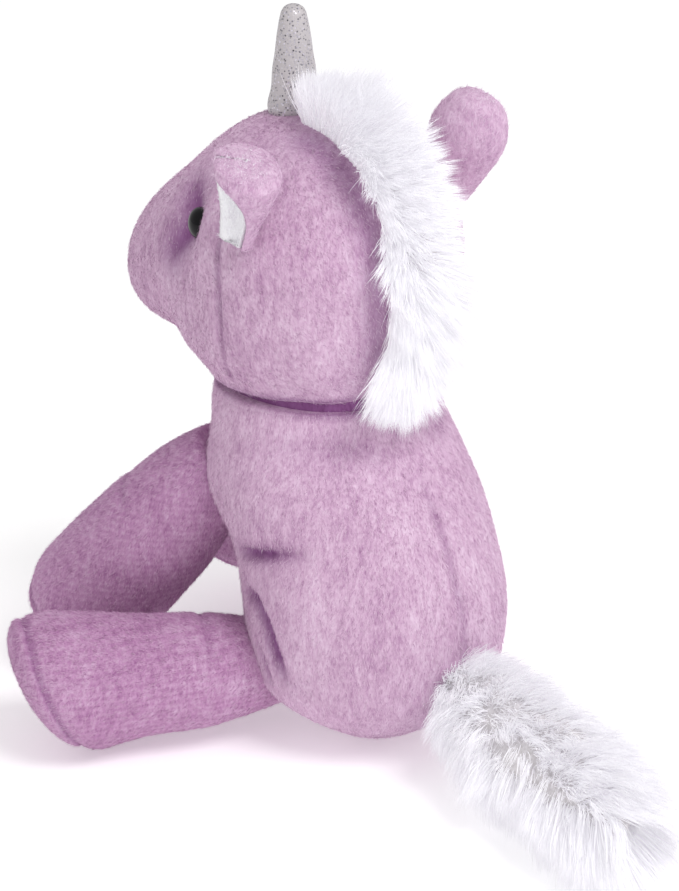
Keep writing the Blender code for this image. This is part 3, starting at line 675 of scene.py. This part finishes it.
def leg_axes(yaw, drop, sign):
    """The leg's unit vectors: along it, across it and up."""
    out, down = math.radians(yaw), math.radians(drop)
    axis = np.array((sign * math.sin(out) * math.cos(down),
                     -math.cos(out) * math.cos(down), -math.sin(down)))
    across = np.cross(axis, (0, 0, 1))
    across /= np.linalg.norm(across)
    return axis, across, np.cross(across, axis)


# Joint, yaw, drop, length, radii, where the sleeve starts, how far the sole's lower edge
# stands back, and how far the end hangs down
LEGS = {
    "front_leg": (SHOULDER, FRONT_YAW, FRONT_DROP, FRONT_LENGTH, FRONT_RADII, -13, 5, 2.5),
    "hind_leg": (HIP, HIND_YAW, HIND_DROP, HIND_LENGTH, HIND_RADII, -6, 17, 0),
}

ROOT_TAPER, TAPER_LENGTH = 0.34, 26     # how the sleeve narrows inside the body
RADII_FROM, TILT_FROM = 12, 30          # mm from the joint
UNDER_SEAM_AT, PINCH_AT = (22, 40, 60), 19


def leg(name, side, sign):
    """One stuffed leg with its sewn-in sole."""
    base, yaw, drops, length, radii, root, tilt, sag = LEGS[name]
    base = base * np.array((sign, 1, 1))
    axis, across, upward = leg_axes(yaw[side], drops[side], sign)
    angles = turn_of(96)
    seam = length - SOLE_BULGE

    def radius_at(d):
        return float(along(radii, (d - RADII_FROM) / (seam - RADII_FROM))[0])

    places = []
    for d in np.linspace(root, seam, 60):
        taper = 1 - ROOT_TAPER * (1 - np.clip((d - root) / TAPER_LENGTH, 0, 1)) ** 1.5
        places.append((d, taper * radius_at(d)))
    end = places[-1][1]
    places += [(seam + SOLE_BULGE * math.sin(a), end * math.cos(a) ** 0.8)
               for a in np.linspace(0, math.pi / 2, 16)[1:-1]]

    def put(d, height, sideways):
        """The point at a distance along the leg, and up and across from its middle."""
        low = np.clip((end - height) / (2 * end), 0, 1) ** 1.7
        back = low * tilt * np.clip((d - TILT_FROM) / (seam - TILT_FROM), 0, 1)
        drop = sag * np.clip(d / length, 0, 1) ** 2
        return base + np.outer(d - back, axis) + np.outer(sideways, across) + np.outer(
            height - drop, upward)

    grid = np.empty((len(places), len(angles), 3))
    for i, (d, r) in enumerate(places):
        grid[i] = put(d, r * np.sin(angles), r * np.cos(angles))
    mesh = grid_mesh(f"{name}_skin_{side}", grid, cap_start=True, cap_end=True)
    tidy_normals(mesh)
    points = points_of(mesh)
    points[:, 2] = rested(points[:, 2], 0, soft=2.5)
    set_points(mesh, points)
    puff(mesh, 0.45, 8, len(name) + len(side))
    rim_at = np.linspace(0, 2 * math.pi, 49)
    rim = put(seam - 0.5, end * np.sin(rim_at), end * np.cos(rim_at))
    rim[:, 2] = np.maximum(rim[:, 2], 0.8)
    under = np.concatenate([put(d, np.array([-radius_at(d)]), np.zeros(1))
                            for d in (*UNDER_SEAM_AT, seam)])
    pinch_at = np.linspace(math.pi * 0.1, math.pi * 0.9, 9)
    root_radius = float(along(radii, 0.12)[0])
    pinch = put(PINCH_AT, root_radius * np.sin(pinch_at), root_radius * np.cos(pinch_at))
    # the fourth entry of each fold is painted shade: round the sole's seam, along the under seam
    # and in the pinch
    folds = [(rim, 0.9, 0.9, 0.55, 0), (under, 1.0, 0.6, 0.25, 0), (pinch, 1.5, 0.9, 0.25, 0.2)]
    sew(mesh, folds)
    obj = add(f"{name}_skin_{side}", mesh, SHADED_SLEEVE_PILE)
    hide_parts(*(f"{name}_{part}_{side}" for part in ("sleeve", "sole", "stuffing")))
    finish_skin(obj, lambda piece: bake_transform(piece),
        comb=tuple(axis + (0, 0, -0.3)), tones=SHADED_LEG_TONES)


# ---------------------------------------------------------------- ears, horn and eyes

EAR = {
    # base, tip, (share, radius), (share, half angle of the cup to the face, and to the back)
    "left": ((46.9, -19.0, 161.8), (50.6, -6.1, 192.5),
             ((0, 5.2), (0.3, 6.4), (0.6, 8.3), (0.8, 9.3), (0.92, 8.3), (0.98, 5.2), (1, 0.3)),
             ((0, 65, 88), (0.3, 75, 95), (0.5, 85, 108), (0.65, 92, 122), (0.8, 97, 145),
              (0.9, 112, 182), (0.96, 135, 215), (1, 138, 218))),
    "right": ((-42.5, -18, 157), (-48, -5.5, 192),
              ((0, 6.6), (0.3, 9.2), (0.55, 11.0), (0.7, 10.9), (0.83, 9.2), (0.94, 6.2),
               (0.985, 3.2), (1, 0.3)),
              ((0, 82, 82), (0.4, 85, 85), (1, 88, 88))),
}
EAR_OPENS = {"left": (0.95, -0.1, 0.1), "right": (0.95, -0.15, 0.2)}
BASE_LIFT = 5.0      # of the cup's free side, where it leaves the head
# piece, inner and outer offset, extra turn at the face side, how far its lip rolls out, cloth
EAR_LAYERS = (("ear_lining_", -1.2, 0.0, 8, 2.0, WHITE_PILE),
              ("ear_back_", 0.25, 1.8, 0, 0.0, LILAC_PILE))


def ear_axes(side, sign):
    base, tip = np.array(EAR[side][0], float), np.array(EAR[side][1], float)
    reach = np.linalg.norm(tip - base)
    up = (tip - base) / reach
    opens = np.array(EAR_OPENS[side]) * (sign, 1, 1)
    opens = unit(opens - up * (opens @ up))
    wide = np.cross(up, opens)
    if wide @ np.array((sign, 1, 0)) < 0:
        wide = -wide
    return base, reach, up, opens, wide


def ear(side, sign):
    """A cupped ear of two sewn layers: a white lining inside a lilac back."""
    base, reach, up, opens, wide = ear_axes(side, sign)
    _, _, radii, cups = EAR[side]
    shares = 1 - (1 - np.linspace(0, 1, 44)) ** 1.6
    across = np.linspace(-1, 1, 61)
    puffed = np.sqrt(np.clip(1 - np.abs(across) ** 4, 0, 1))
    for name, inner, outer, extra, roll, material in EAR_LAYERS:
        middle = (inner + outer) / 2
        lip = (roll if side == "left" else 0) * bell(across + 1, 0.1)    # the right's is straight
        rows = []
        for s in shares:
            rolled = lip * min(max((0.9 - s) / 0.15, 0), 1)
            to_face, to_back = np.radians(along(cups, s) + (extra, 0))
            bend = (across + 1) / 2 * (to_face + to_back) - to_face
            centre = float(along(radii, s)[0]) + middle + rolled / 2
            near = centre + (inner - middle) * puffed
            far = centre + (outer - middle) * puffed + rolled / 2
            faces = []
            for radius, turns in ((far, bend), (near[::-1], bend[::-1])):
                radius = np.maximum(radius, 0.05)[:, None]
                lift = BASE_LIFT * (1 - s) * np.sin(np.clip(turns, 0, math.pi / 2))
                faces.append(base + np.outer(s * reach + lift, up)
                             - radius * np.cos(turns)[:, None] * opens
                             + radius * np.sin(turns)[:, None] * wide)
            rows.append(np.concatenate((faces[0], faces[1][1:-1])))
        mesh = grid_mesh(name + side, np.array(rows), cap_start=True, cap_end=True)
        tidy_normals(mesh)
        store(mesh, "crease", np.zeros(len(mesh.vertices)))
        obj = add(name + side + "_cloth", mesh, material)
        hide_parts(name + side)
        lining = "lining" in name
        finish_skin(obj, lambda piece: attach(piece, "ear_" + side), comb=tuple(up),
                    tones=FUR_TONES if lining else EAR_TONES)


HORN_HEIGHT, HORN_WAVE = 33.0, 0.18
HORN_PROFILE = ((0, 7.7), (0.05, 7.9), (0.25, 7.0), (0.5, 6.0), (0.75, 4.9), (0.88, 4.2),
                (0.94, 3.6), (0.975, 2.6), (0.995, 1.1), (1, 0))   # share of height, radius


def horn():
    rows = np.concatenate((np.linspace(0, 0.86, 44), np.linspace(0.87, 1, 18)))
    angles = turn_of(64)
    grid = np.empty((len(rows), len(angles), 3))
    for i, s in enumerate(rows):
        r = float(along(HORN_PROFILE, s)[0]) if s < 1 else 0.0
        r = max(r + HORN_WAVE * math.sin(s * 19) * (1 - s), 0.0)
        grid[i] = ring(HORN_BASE + (0, 0, s * HORN_HEIGHT), r, *FLAT, angles)
    mesh = grid_mesh("horn_foil", grid)
    tidy_normals(mesh)
    puff(mesh, 0.2, 4, 15)
    obj = add("horn_foil", mesh, HORN_FOIL)
    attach(obj, "horn")
    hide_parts("horn_cover", "horn_stuffing")


EYE_AT, EYE_OUT = np.array((34.9, -42.5, 162)), np.array((0.84, -0.54, 0.10))
EYE_RADIUS, EYE_HEIGHT = 4.8, 3.6


def eyes():
    for side, sign in SIDES:
        flip = np.array((sign, 1, 1))
        centre, out = EYE_AT * flip, EYE_OUT * flip / np.linalg.norm(EYE_OUT)
        right = np.cross((0, 0, 1), out)
        right /= np.linalg.norm(right)
        up = np.cross(out, right)
        angles = turn_of(64)
        rows = np.linspace(-0.5, math.pi / 2 - 0.01, 26)
        grid = np.empty((len(rows), len(angles), 3))
        for i, a in enumerate(rows):
            r, h = EYE_RADIUS * math.cos(a), EYE_HEIGHT * math.sin(a)
            grid[i] = ring(centre + out * h, r, right, up, angles)
        mesh = grid_mesh("eye_dome_" + side, grid, cap_start=True, cap_end=True)
        tidy_normals(mesh)
        obj = add("eye_dome_" + side, mesh, EYE_BLACK)
        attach(obj, "head")
        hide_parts("eye_" + side)


MUZZLE_HEIGHT = 134
MOUTH_Y, MOUTH_CURVE, MOUTH_HALF_ANGLE, MOUTH_THREAD = -94, 2.0, 0.62, 0.6
NOSTRIL_Y, NOSTRIL_ANGLE, NOSTRIL_HALF_ANGLE, NOSTRIL_THREAD = -97.0, 0.6, 0.25, 0.9


def thread(name, ys, angles, radius):
    """A raised line of stitches on the muzzle, along the given sections and angles."""
    rows = []
    round_it = turn_of(10)
    for y, angle in zip(ys, angles):
        spot = head_section(y, np.array([angle]))[0]
        out = unit(spot - (0, y, MUZZLE_HEIGHT))
        rows.append(ring(spot + out * 0.5, radius, out, (0, 1, 0), round_it))
    mesh = grid_mesh(name + "_thread", np.array(rows), cap_start=True, cap_end=True)
    tidy_normals(mesh)
    obj = add(name + "_thread", mesh, THREAD)
    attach(obj, "head")
    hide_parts(name)


def nose_and_mouth():
    shares = np.linspace(-1, 1, 25)
    thread("mouth_stitch", MOUTH_Y + MOUTH_CURVE * shares**2,
           -math.pi / 2 + MOUTH_HALF_ANGLE * shares, MOUTH_THREAD)
    for side, middle in (("left", NOSTRIL_ANGLE), ("right", math.pi - NOSTRIL_ANGLE)):
        thread("nostril_" + side, np.full(9, NOSTRIL_Y),
               middle + NOSTRIL_HALF_ANGLE * shares[::3], NOSTRIL_THREAD)


# ---------------------------------------------------------------- hair

def blades(name, rows, across, widths, tones, random):
    """Flat tapered hairs in one mesh: rows are the points along each, across its flat side."""
    steps, count = len(rows) - 1, len(rows[0])
    layers = []
    for k in range(steps):
        half = (across * (widths * (1 - k / steps) ** 0.6)[:, None]) / 2
        layers += [rows[k] - half, rows[k] + half]
    layers.append(rows[steps])
    corners = np.stack(layers, axis=1).reshape(-1, 3)
    per = 2 * steps + 1
    quads = [(2 * k, 2 * k + 1, 2 * k + 3, 2 * k + 2) for k in range(steps - 1)]
    last = (2 * steps - 2, 2 * steps - 1, 2 * steps)
    pattern = np.array([corner for quad in quads for corner in quad] + list(last))
    loops = (np.arange(count)[:, None] * per + pattern).ravel()
    sizes = np.tile([4] * len(quads) + [3], count)
    mesh = bpy.data.meshes.new(name)
    mesh.vertices.add(len(corners))
    mesh.vertices.foreach_set("co", (corners * MM).astype(np.float32).ravel())
    mesh.loops.add(len(loops))
    mesh.loops.foreach_set("vertex_index", loops.astype(np.int32))
    mesh.polygons.add(len(sizes))
    starts = np.concatenate(([0], np.cumsum(sizes)[:-1]))
    mesh.polygons.foreach_set("loop_start", starts.astype(np.int32))
    mesh.polygons.foreach_set("loop_total", sizes.astype(np.int32))
    mesh.update(calc_edges=True)
    mesh.shade_smooth()
    obj = add(name, mesh, tones[0])
    for tone in tones[1:]:
        mesh.materials.append(tone)
    pick = random.choice(len(tones), count, p=HAIR_SHARES)
    mesh.polygons.foreach_set("material_index", np.repeat(pick, len(quads) + 1).astype(np.int32))
    mesh.update()
    return obj


PILE_DENSITY = 3.2   # hairs to a square millimetre
PILE_LENGTH, PILE_WIDTH = 1.35, 0.16
MOST_HAIRS = 60000   # to a piece


def pile(skin, comb, tones):
    """Short brushed hairs over a skin, lying mostly along the comb's direction."""
    random = np.random.default_rng(len(skin.name) * 7 + 1)
    mesh = skin.data
    mesh.calc_loop_triangles()
    corners = np.empty(len(mesh.loop_triangles) * 3, np.int32)
    mesh.loop_triangles.foreach_get("vertices", corners)
    corners = corners.reshape(-1, 3)
    points, normals = points_of(mesh), normals_of(mesh)
    crease = np.zeros(len(points), np.float32)
    mesh.attributes["crease"].data.foreach_get("value", crease)
    a, b, c = (points[corners[:, k]] for k in range(3))
    area = np.linalg.norm(np.cross(b - a, c - a), axis=1) / 2
    count = int(area.sum() * PILE_DENSITY)
    pick = random.choice(len(corners), count, p=area / area.sum())
    u, v = random.uniform(size=(2, count))
    u, v = np.where(u + v > 1, 1 - u, u), np.where(u + v > 1, 1 - v, v)
    weights = np.stack((1 - u - v, u, v), axis=1)[:, :, None]
    roots = (points[corners[pick]] * weights).sum(axis=1)
    outward = unit((normals[corners[pick]] * weights).sum(axis=1))
    # hairs are left out where the painted shade is strong, so the darkened skin shows through
    deep = (crease[corners[pick]] * weights[:, :, 0]).sum(axis=1)
    keep = (random.uniform(size=count) > deep * 1.1) & (roots[:, 2] > 1.6)
    roots, outward = roots[keep], outward[keep]
    count = len(roots)
    swirl = ripples(roots, 7, (51, 52, 53))
    lay = unit(comb) + 0.06 * swirl + 0.30 * random.normal(size=(count, 3))
    lay -= outward * (lay * outward).sum(axis=1, keepdims=True)
    ways = unit(unit(lay) + outward * random.uniform(0.18, 0.75, (count, 1)))
    across = unit(np.cross(ways, outward) + 0.4 * random.normal(size=(count, 3)))
    lengths = random.uniform(0.6, 1.25, (count, 1)) * PILE_LENGTH
    base = roots - outward * 0.15
    middle = base + ways * lengths * 0.55
    tips = base + (ways + unit(lay) * 0.25) * lengths
    for rows in (middle, tips):
        rows[:, 2] = np.maximum(rows[:, 2], 0.1)
    made = []
    for start in range(0, count, MOST_HAIRS):
        part = slice(start, start + MOST_HAIRS)
        rows = (base[part], middle[part], tips[part])
        made.append(blades(f"{skin.name}_pile_{len(made)}", rows, across[part],
                           np.full(len(base[part]), PILE_WIDTH), tones, random))
    return made


FUR_SEGMENTS, FUR_WIDTHS = 4, (0.22, 0.42)


def fur(name, roots, ways, lengths, bends, tuft, gather, body, seed):
    """Long hairs that gather into tufts: tuft is the share of hairs that lead one."""
    random = np.random.default_rng(seed)
    count = len(roots)
    heads = random.choice(count, max(int(count * tuft), 8), replace=False)
    nearest = np.empty(count, np.int64)
    for start in range(0, count, 2000):
        part = roots[start:start + 2000]
        nearest[start:start + 2000] = np.argmin(
            ((part[:, None] - roots[heads][None]) ** 2).sum(axis=2), axis=1)
    lead = heads[nearest]
    wander = random.normal(size=(count, 3)) * 0.16
    rows = []
    for k in range(FUR_SEGMENTS + 1):
        s = k / FUR_SEGMENTS
        own = roots + lengths[:, None] * ((ways + wander * s) * s + bends * s**2)
        led = roots[lead] + lengths[lead][:, None] * (ways[lead] * s + bends[lead] * s**2) * 1.05
        rows.append(own + (led - own) * (gather * s**1.3)[:, None])
        rows[-1][:, 2] = np.maximum(rows[-1][:, 2], 0.25)
    across = unit(np.cross(ways, random.normal(size=(count, 3))))
    widths = random.uniform(*FUR_WIDTHS, count)
    obj = blades(name, rows, across, widths, FUR_TONES, random)
    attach(obj, body)
    return obj


SKULL = np.array((-27.0, 149.5))    # Y and Z of the head's middle
HEAD_ARCH = 84                      # twice the radius of the head's top, side to side


def head_top_line(turns):
    """Points of the head's surface in the middle plane, seen from the skull's middle."""
    found = []
    for turn in turns:
        spoke = np.array((math.cos(turn), math.sin(turn)))
        low, high = 10.0, 60.0
        for _ in range(30):
            half = (low + high) / 2
            y, z = SKULL + spoke * half
            inside = False
            if HEAD[-1][0] < y < HEAD[0][0]:
                middle, _, above, below, _ = along(HEAD, y)
                inside = middle - below < z < middle + above
            low, high = (half, high) if inside else (low, half)
        found.append(SKULL + spoke * low)
    return np.array(found)


# Along the mane: share from the horn to the nape, how long the fur is, how far it splays
MANE_FUR = ((0, 15, 0.15), (0.08, 23, 0.25), (0.2, 24, 0.4), (0.35, 20, 0.75), (0.5, 16.5, 1.0),
            (0.65, 17.5, 1.15), (0.8, 19, 1.2), (0.92, 18.5, 1.3), (1, 17, 1.3))
MANE_TURNS = (98, -46)    # degrees round the skull's middle
MANE_HALF, MANE_SHIFT = 7.5, 2.5    # half its strip's width, and how far it lies to the left
MANE_BACKING = (8.0, 5.0)           # half width and height
MANE_HAIRS, TAIL_HAIRS = ((26000, 27000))


def mane():
    """A strip of long fur sewn over the head's middle from the horn to the nape."""
    count = MANE_HAIRS
    random = np.random.default_rng(11)
    turns = np.radians(np.linspace(*MANE_TURNS, 60))
    line = head_top_line(turns)
    share = random.uniform(0, 1, count)
    spot = share * (len(turns) - 1)
    i = np.clip(spot.astype(int), 0, len(turns) - 2)
    f = (spot - i)[:, None]
    middle = line[i] * (1 - f) + line[i + 1] * f
    turn = turns[i] * (1 - f[:, 0]) + turns[i + 1] * f[:, 0]
    spoke = np.stack((np.zeros(count), np.cos(turn), np.sin(turn)), axis=1)
    down = np.stack((np.zeros(count), np.sin(turn), -np.cos(turn)), axis=1)
    length, splay = along(MANE_FUR, share).T
    half = MANE_HALF * np.clip(np.minimum(share + 0.03, 1 - share) / 0.08, 0.5, 1)
    side = random.uniform(-1, 1, count)
    x = side * half + MANE_SHIFT * np.clip(share * 4, 0, 1)
    roots = np.stack((x, middle[:, 0], middle[:, 1]), axis=1)
    roots -= spoke * (x**2 / HEAD_ARCH + 0.6)[:, None]
    ways = spoke + np.array((1, 0, 0)) * (side * splay)[:, None]
    ways += down * (0.15 + 0.2 * share)[:, None]
    ways += random.normal(size=(count, 3)) * 0.15
    ways += ripples(roots, 3.2, (21, 22, 23)) * 0.2
    ways = unit(ways)
    lengths = length * random.uniform(0.72, 1.0, count) * (1 - 0.12 * np.abs(side))
    lengths *= 1 + 0.12 * ripple(roots, 3.5, 24)
    bends = down * 0.1 + np.array((0, 0, -0.1))
    bends += np.array((1, 0, 0)) * (side * 0.15)[:, None]
    gather = random.uniform(0.35, 0.8, count)
    obj = fur("mane_fur", roots, ways, lengths, bends, 0.016, gather, "head", 12)
    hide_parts("mane")
    mane_backing(turns, line)


def mane_backing(turns, line):
    grid = np.empty((len(turns), 24, 3))
    angles = turn_of(24)
    for i, turn in enumerate(turns):
        end = min(i, len(turns) - 1 - i) / 5
        spoke = np.array((0, math.cos(turn), math.sin(turn)))
        wide = MANE_BACKING[0] * min(0.5 + end / 2, 1)
        thick = MANE_BACKING[1] * min(0.3 + end, 1)
        lift = np.where(np.sin(angles) > 0, thick * np.sin(angles), 0.8 * np.sin(angles))
        x = wide * np.cos(angles)
        place = np.array((0, line[i, 0], line[i, 1]))
        grid[i] = place + np.outer(x, (1, 0, 0)) + np.outer(lift - x**2 / HEAD_ARCH, spoke)
    underfur("mane_underfur", grid, "head")


def underfur(name, grid, body):
    """The dense backing that long fur stands in."""
    mesh = grid_mesh(name, grid, cap_start=True, cap_end=True)
    tidy_normals(mesh)
    obj = add(name, mesh, UNDERFUR)
    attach(obj, body)


TAIL_CORE = ((0, 8), (0.08, 11), (0.3, 13.5), (0.65, 14), (0.88, 11.5), (1, 6))
TAIL_FROM, TAIL_REACH = -3, 88    # mm from the joint
PARTING = 0.35    # radians round the tail from its side


def tail():
    """A thick fur tail, parted along the side towards its far half."""
    count = TAIL_HAIRS
    random = np.random.default_rng(31)
    axis, across, upward = leg_axes(TAIL_YAW, TAIL_DROP, 1)
    share = random.uniform(0, 1, count) ** 0.92
    turn = random.uniform(0, 2 * math.pi, count)
    around = np.cos(turn)[:, None] * across + np.sin(turn)[:, None] * upward
    tangent = -np.sin(turn)[:, None] * across + np.cos(turn)[:, None] * upward
    distance = TAIL_FROM + share * (TAIL_REACH - TAIL_FROM)
    core = along(TAIL_CORE, share)[:, 0] * 0.8
    roots = TAIL_BASE + axis * distance[:, None] + around * core[:, None]
    lean = 0.45 + 0.75 * share + 0.9 * np.clip((share - 0.85) / 0.15, 0, 1)
    ways = around + axis * lean[:, None]
    off = (turn - PARTING + math.pi) % (2 * math.pi) - math.pi
    parted = bell(off, 0.5) * np.clip((share - 0.35) / 0.12, 0, 1)
    ways += tangent * (np.sign(off) * parted * 0.9)[:, None]
    ways += ripples(roots, 3.0, (41, 42, 43)) * 0.26
    ways = unit(ways + random.normal(size=(count, 3)) * 0.14)
    lengths = random.uniform(10.5, 16, count) * (1 + 0.15 * ripple(roots, 4, 44))
    lengths *= 1 + 0.2 * np.clip((share - 0.8) / 0.2, 0, 1)
    bends = axis * 0.2 + np.array((0, 0, -0.2)) + np.zeros((count, 3))
    gather = random.uniform(0.35, 0.85, count)
    obj = fur("tail_fur_strands", roots, ways, lengths, bends, 0.018, gather, "tail", 33)
    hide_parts("tail_fur", "tail_stuffing")
    tail_backing(axis, across, upward)
    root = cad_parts["tail_root"]
    root.data.materials.clear()
    root.data.materials.append(WHITE_PILE)


def tail_backing(axis, across, upward):
    angles = turn_of(32)
    rows = np.linspace(0, 1, 26)
    grid = np.empty((len(rows), len(angles), 3))
    for i, s in enumerate(rows):
        r = float(along(TAIL_CORE, s)[0]) * math.sqrt(max(1 - s**8, 0.02))
        middle = TAIL_BASE + axis * (TAIL_FROM + s * (TAIL_REACH - TAIL_FROM))
        grid[i] = ring(middle, r, across, upward, angles)
    underfur("tail_underfur", grid, "tail")


# ---------------------------------------------------------------- camera and light

CAMERA_AZIMUTH, CAMERA_ELEVATION, CAMERA_DISTANCE = 135, 22, 1.05
CAMERA_LEFT, CAMERA_RAISE = 0.01404, 0.08718    # metres off the line to the origin
CAMERA_LENS, CAMERA_SENSOR = 137.5, 36
WORLD_STRENGTH, FLOOR_WHITE, FLOOR_GLOW = 0.64, 0.95, 0.3


def look_from(azimuth, elevation, distance, aim):
    a, e = math.radians(azimuth), math.radians(elevation)
    back = Vector((math.sin(a) * math.cos(e), -math.cos(a) * math.cos(e), math.sin(e)))
    return Vector(aim) + back * distance, (-back).to_track_quat("-Z", "Y")


def camera():
    data = bpy.data.cameras.new("camera")
    data.lens, data.sensor_width, data.clip_start = CAMERA_LENS, CAMERA_SENSOR, 0.05
    cam = bpy.data.objects.new("camera", data)
    place, turn = look_from(CAMERA_AZIMUTH, CAMERA_ELEVATION, CAMERA_DISTANCE, (0, 0, 0))
    cam.rotation_mode = "QUATERNION"
    cam.rotation_quaternion = turn
    right, up = turn @ Vector((1, 0, 0)), turn @ Vector((0, 1, 0))
    cam.location = place - right * CAMERA_LEFT + up * CAMERA_RAISE
    bpy.context.scene.collection.objects.link(cam)
    bpy.context.scene.camera = cam


def area_light(name, azimuth, elevation, distance, size, power):
    data = bpy.data.lights.new(name, "AREA")
    data.shape, data.size, data.energy = "DISK", size, power
    lamp = bpy.data.objects.new(name, data)
    place, turn = look_from(azimuth, elevation, distance, (0, 0, 0.1))
    lamp.location = place
    lamp.rotation_mode = "QUATERNION"
    lamp.rotation_quaternion = turn
    bpy.context.scene.collection.objects.link(lamp)


def studio():
    bpy.context.scene.view_settings.view_transform = "Standard"
    world = bpy.data.worlds.new("studio")
    bpy.context.scene.world = world
    world.use_nodes = True
    settle(world.node_tree.nodes["Background"],
           {"Color": (1, 1, 1, 1), "Strength": WORLD_STRENGTH})
    area_light("key", azimuth=172, elevation=52, distance=1.4, size=0.7, power=10)
    mesh = bpy.data.meshes.new("floor")
    mesh.from_pydata([(-6, -6, 0), (6, -6, 0), (6, 6, 0), (-6, 6, 0)], [], [(0, 1, 2, 3)])
    finish = plain("floor_white", (FLOOR_WHITE,) * 3, 0.9)
    settle(finish.node_tree.nodes["Principled BSDF"],
           {"Emission Color": (1, 1, 1, 1), "Emission Strength": FLOOR_GLOW})
    floor = add("floor", mesh, finish)


def main():
    torso()
    head()
    neck_crease()
    for side, sign in SIDES:
        for name in LEGS:
            leg(name, side, sign)
    for side, sign in SIDES:
        ear(side, sign)
    horn()
    eyes()
    nose_and_mouth()
    mane()
    tail()
    camera()
    studio()


main()
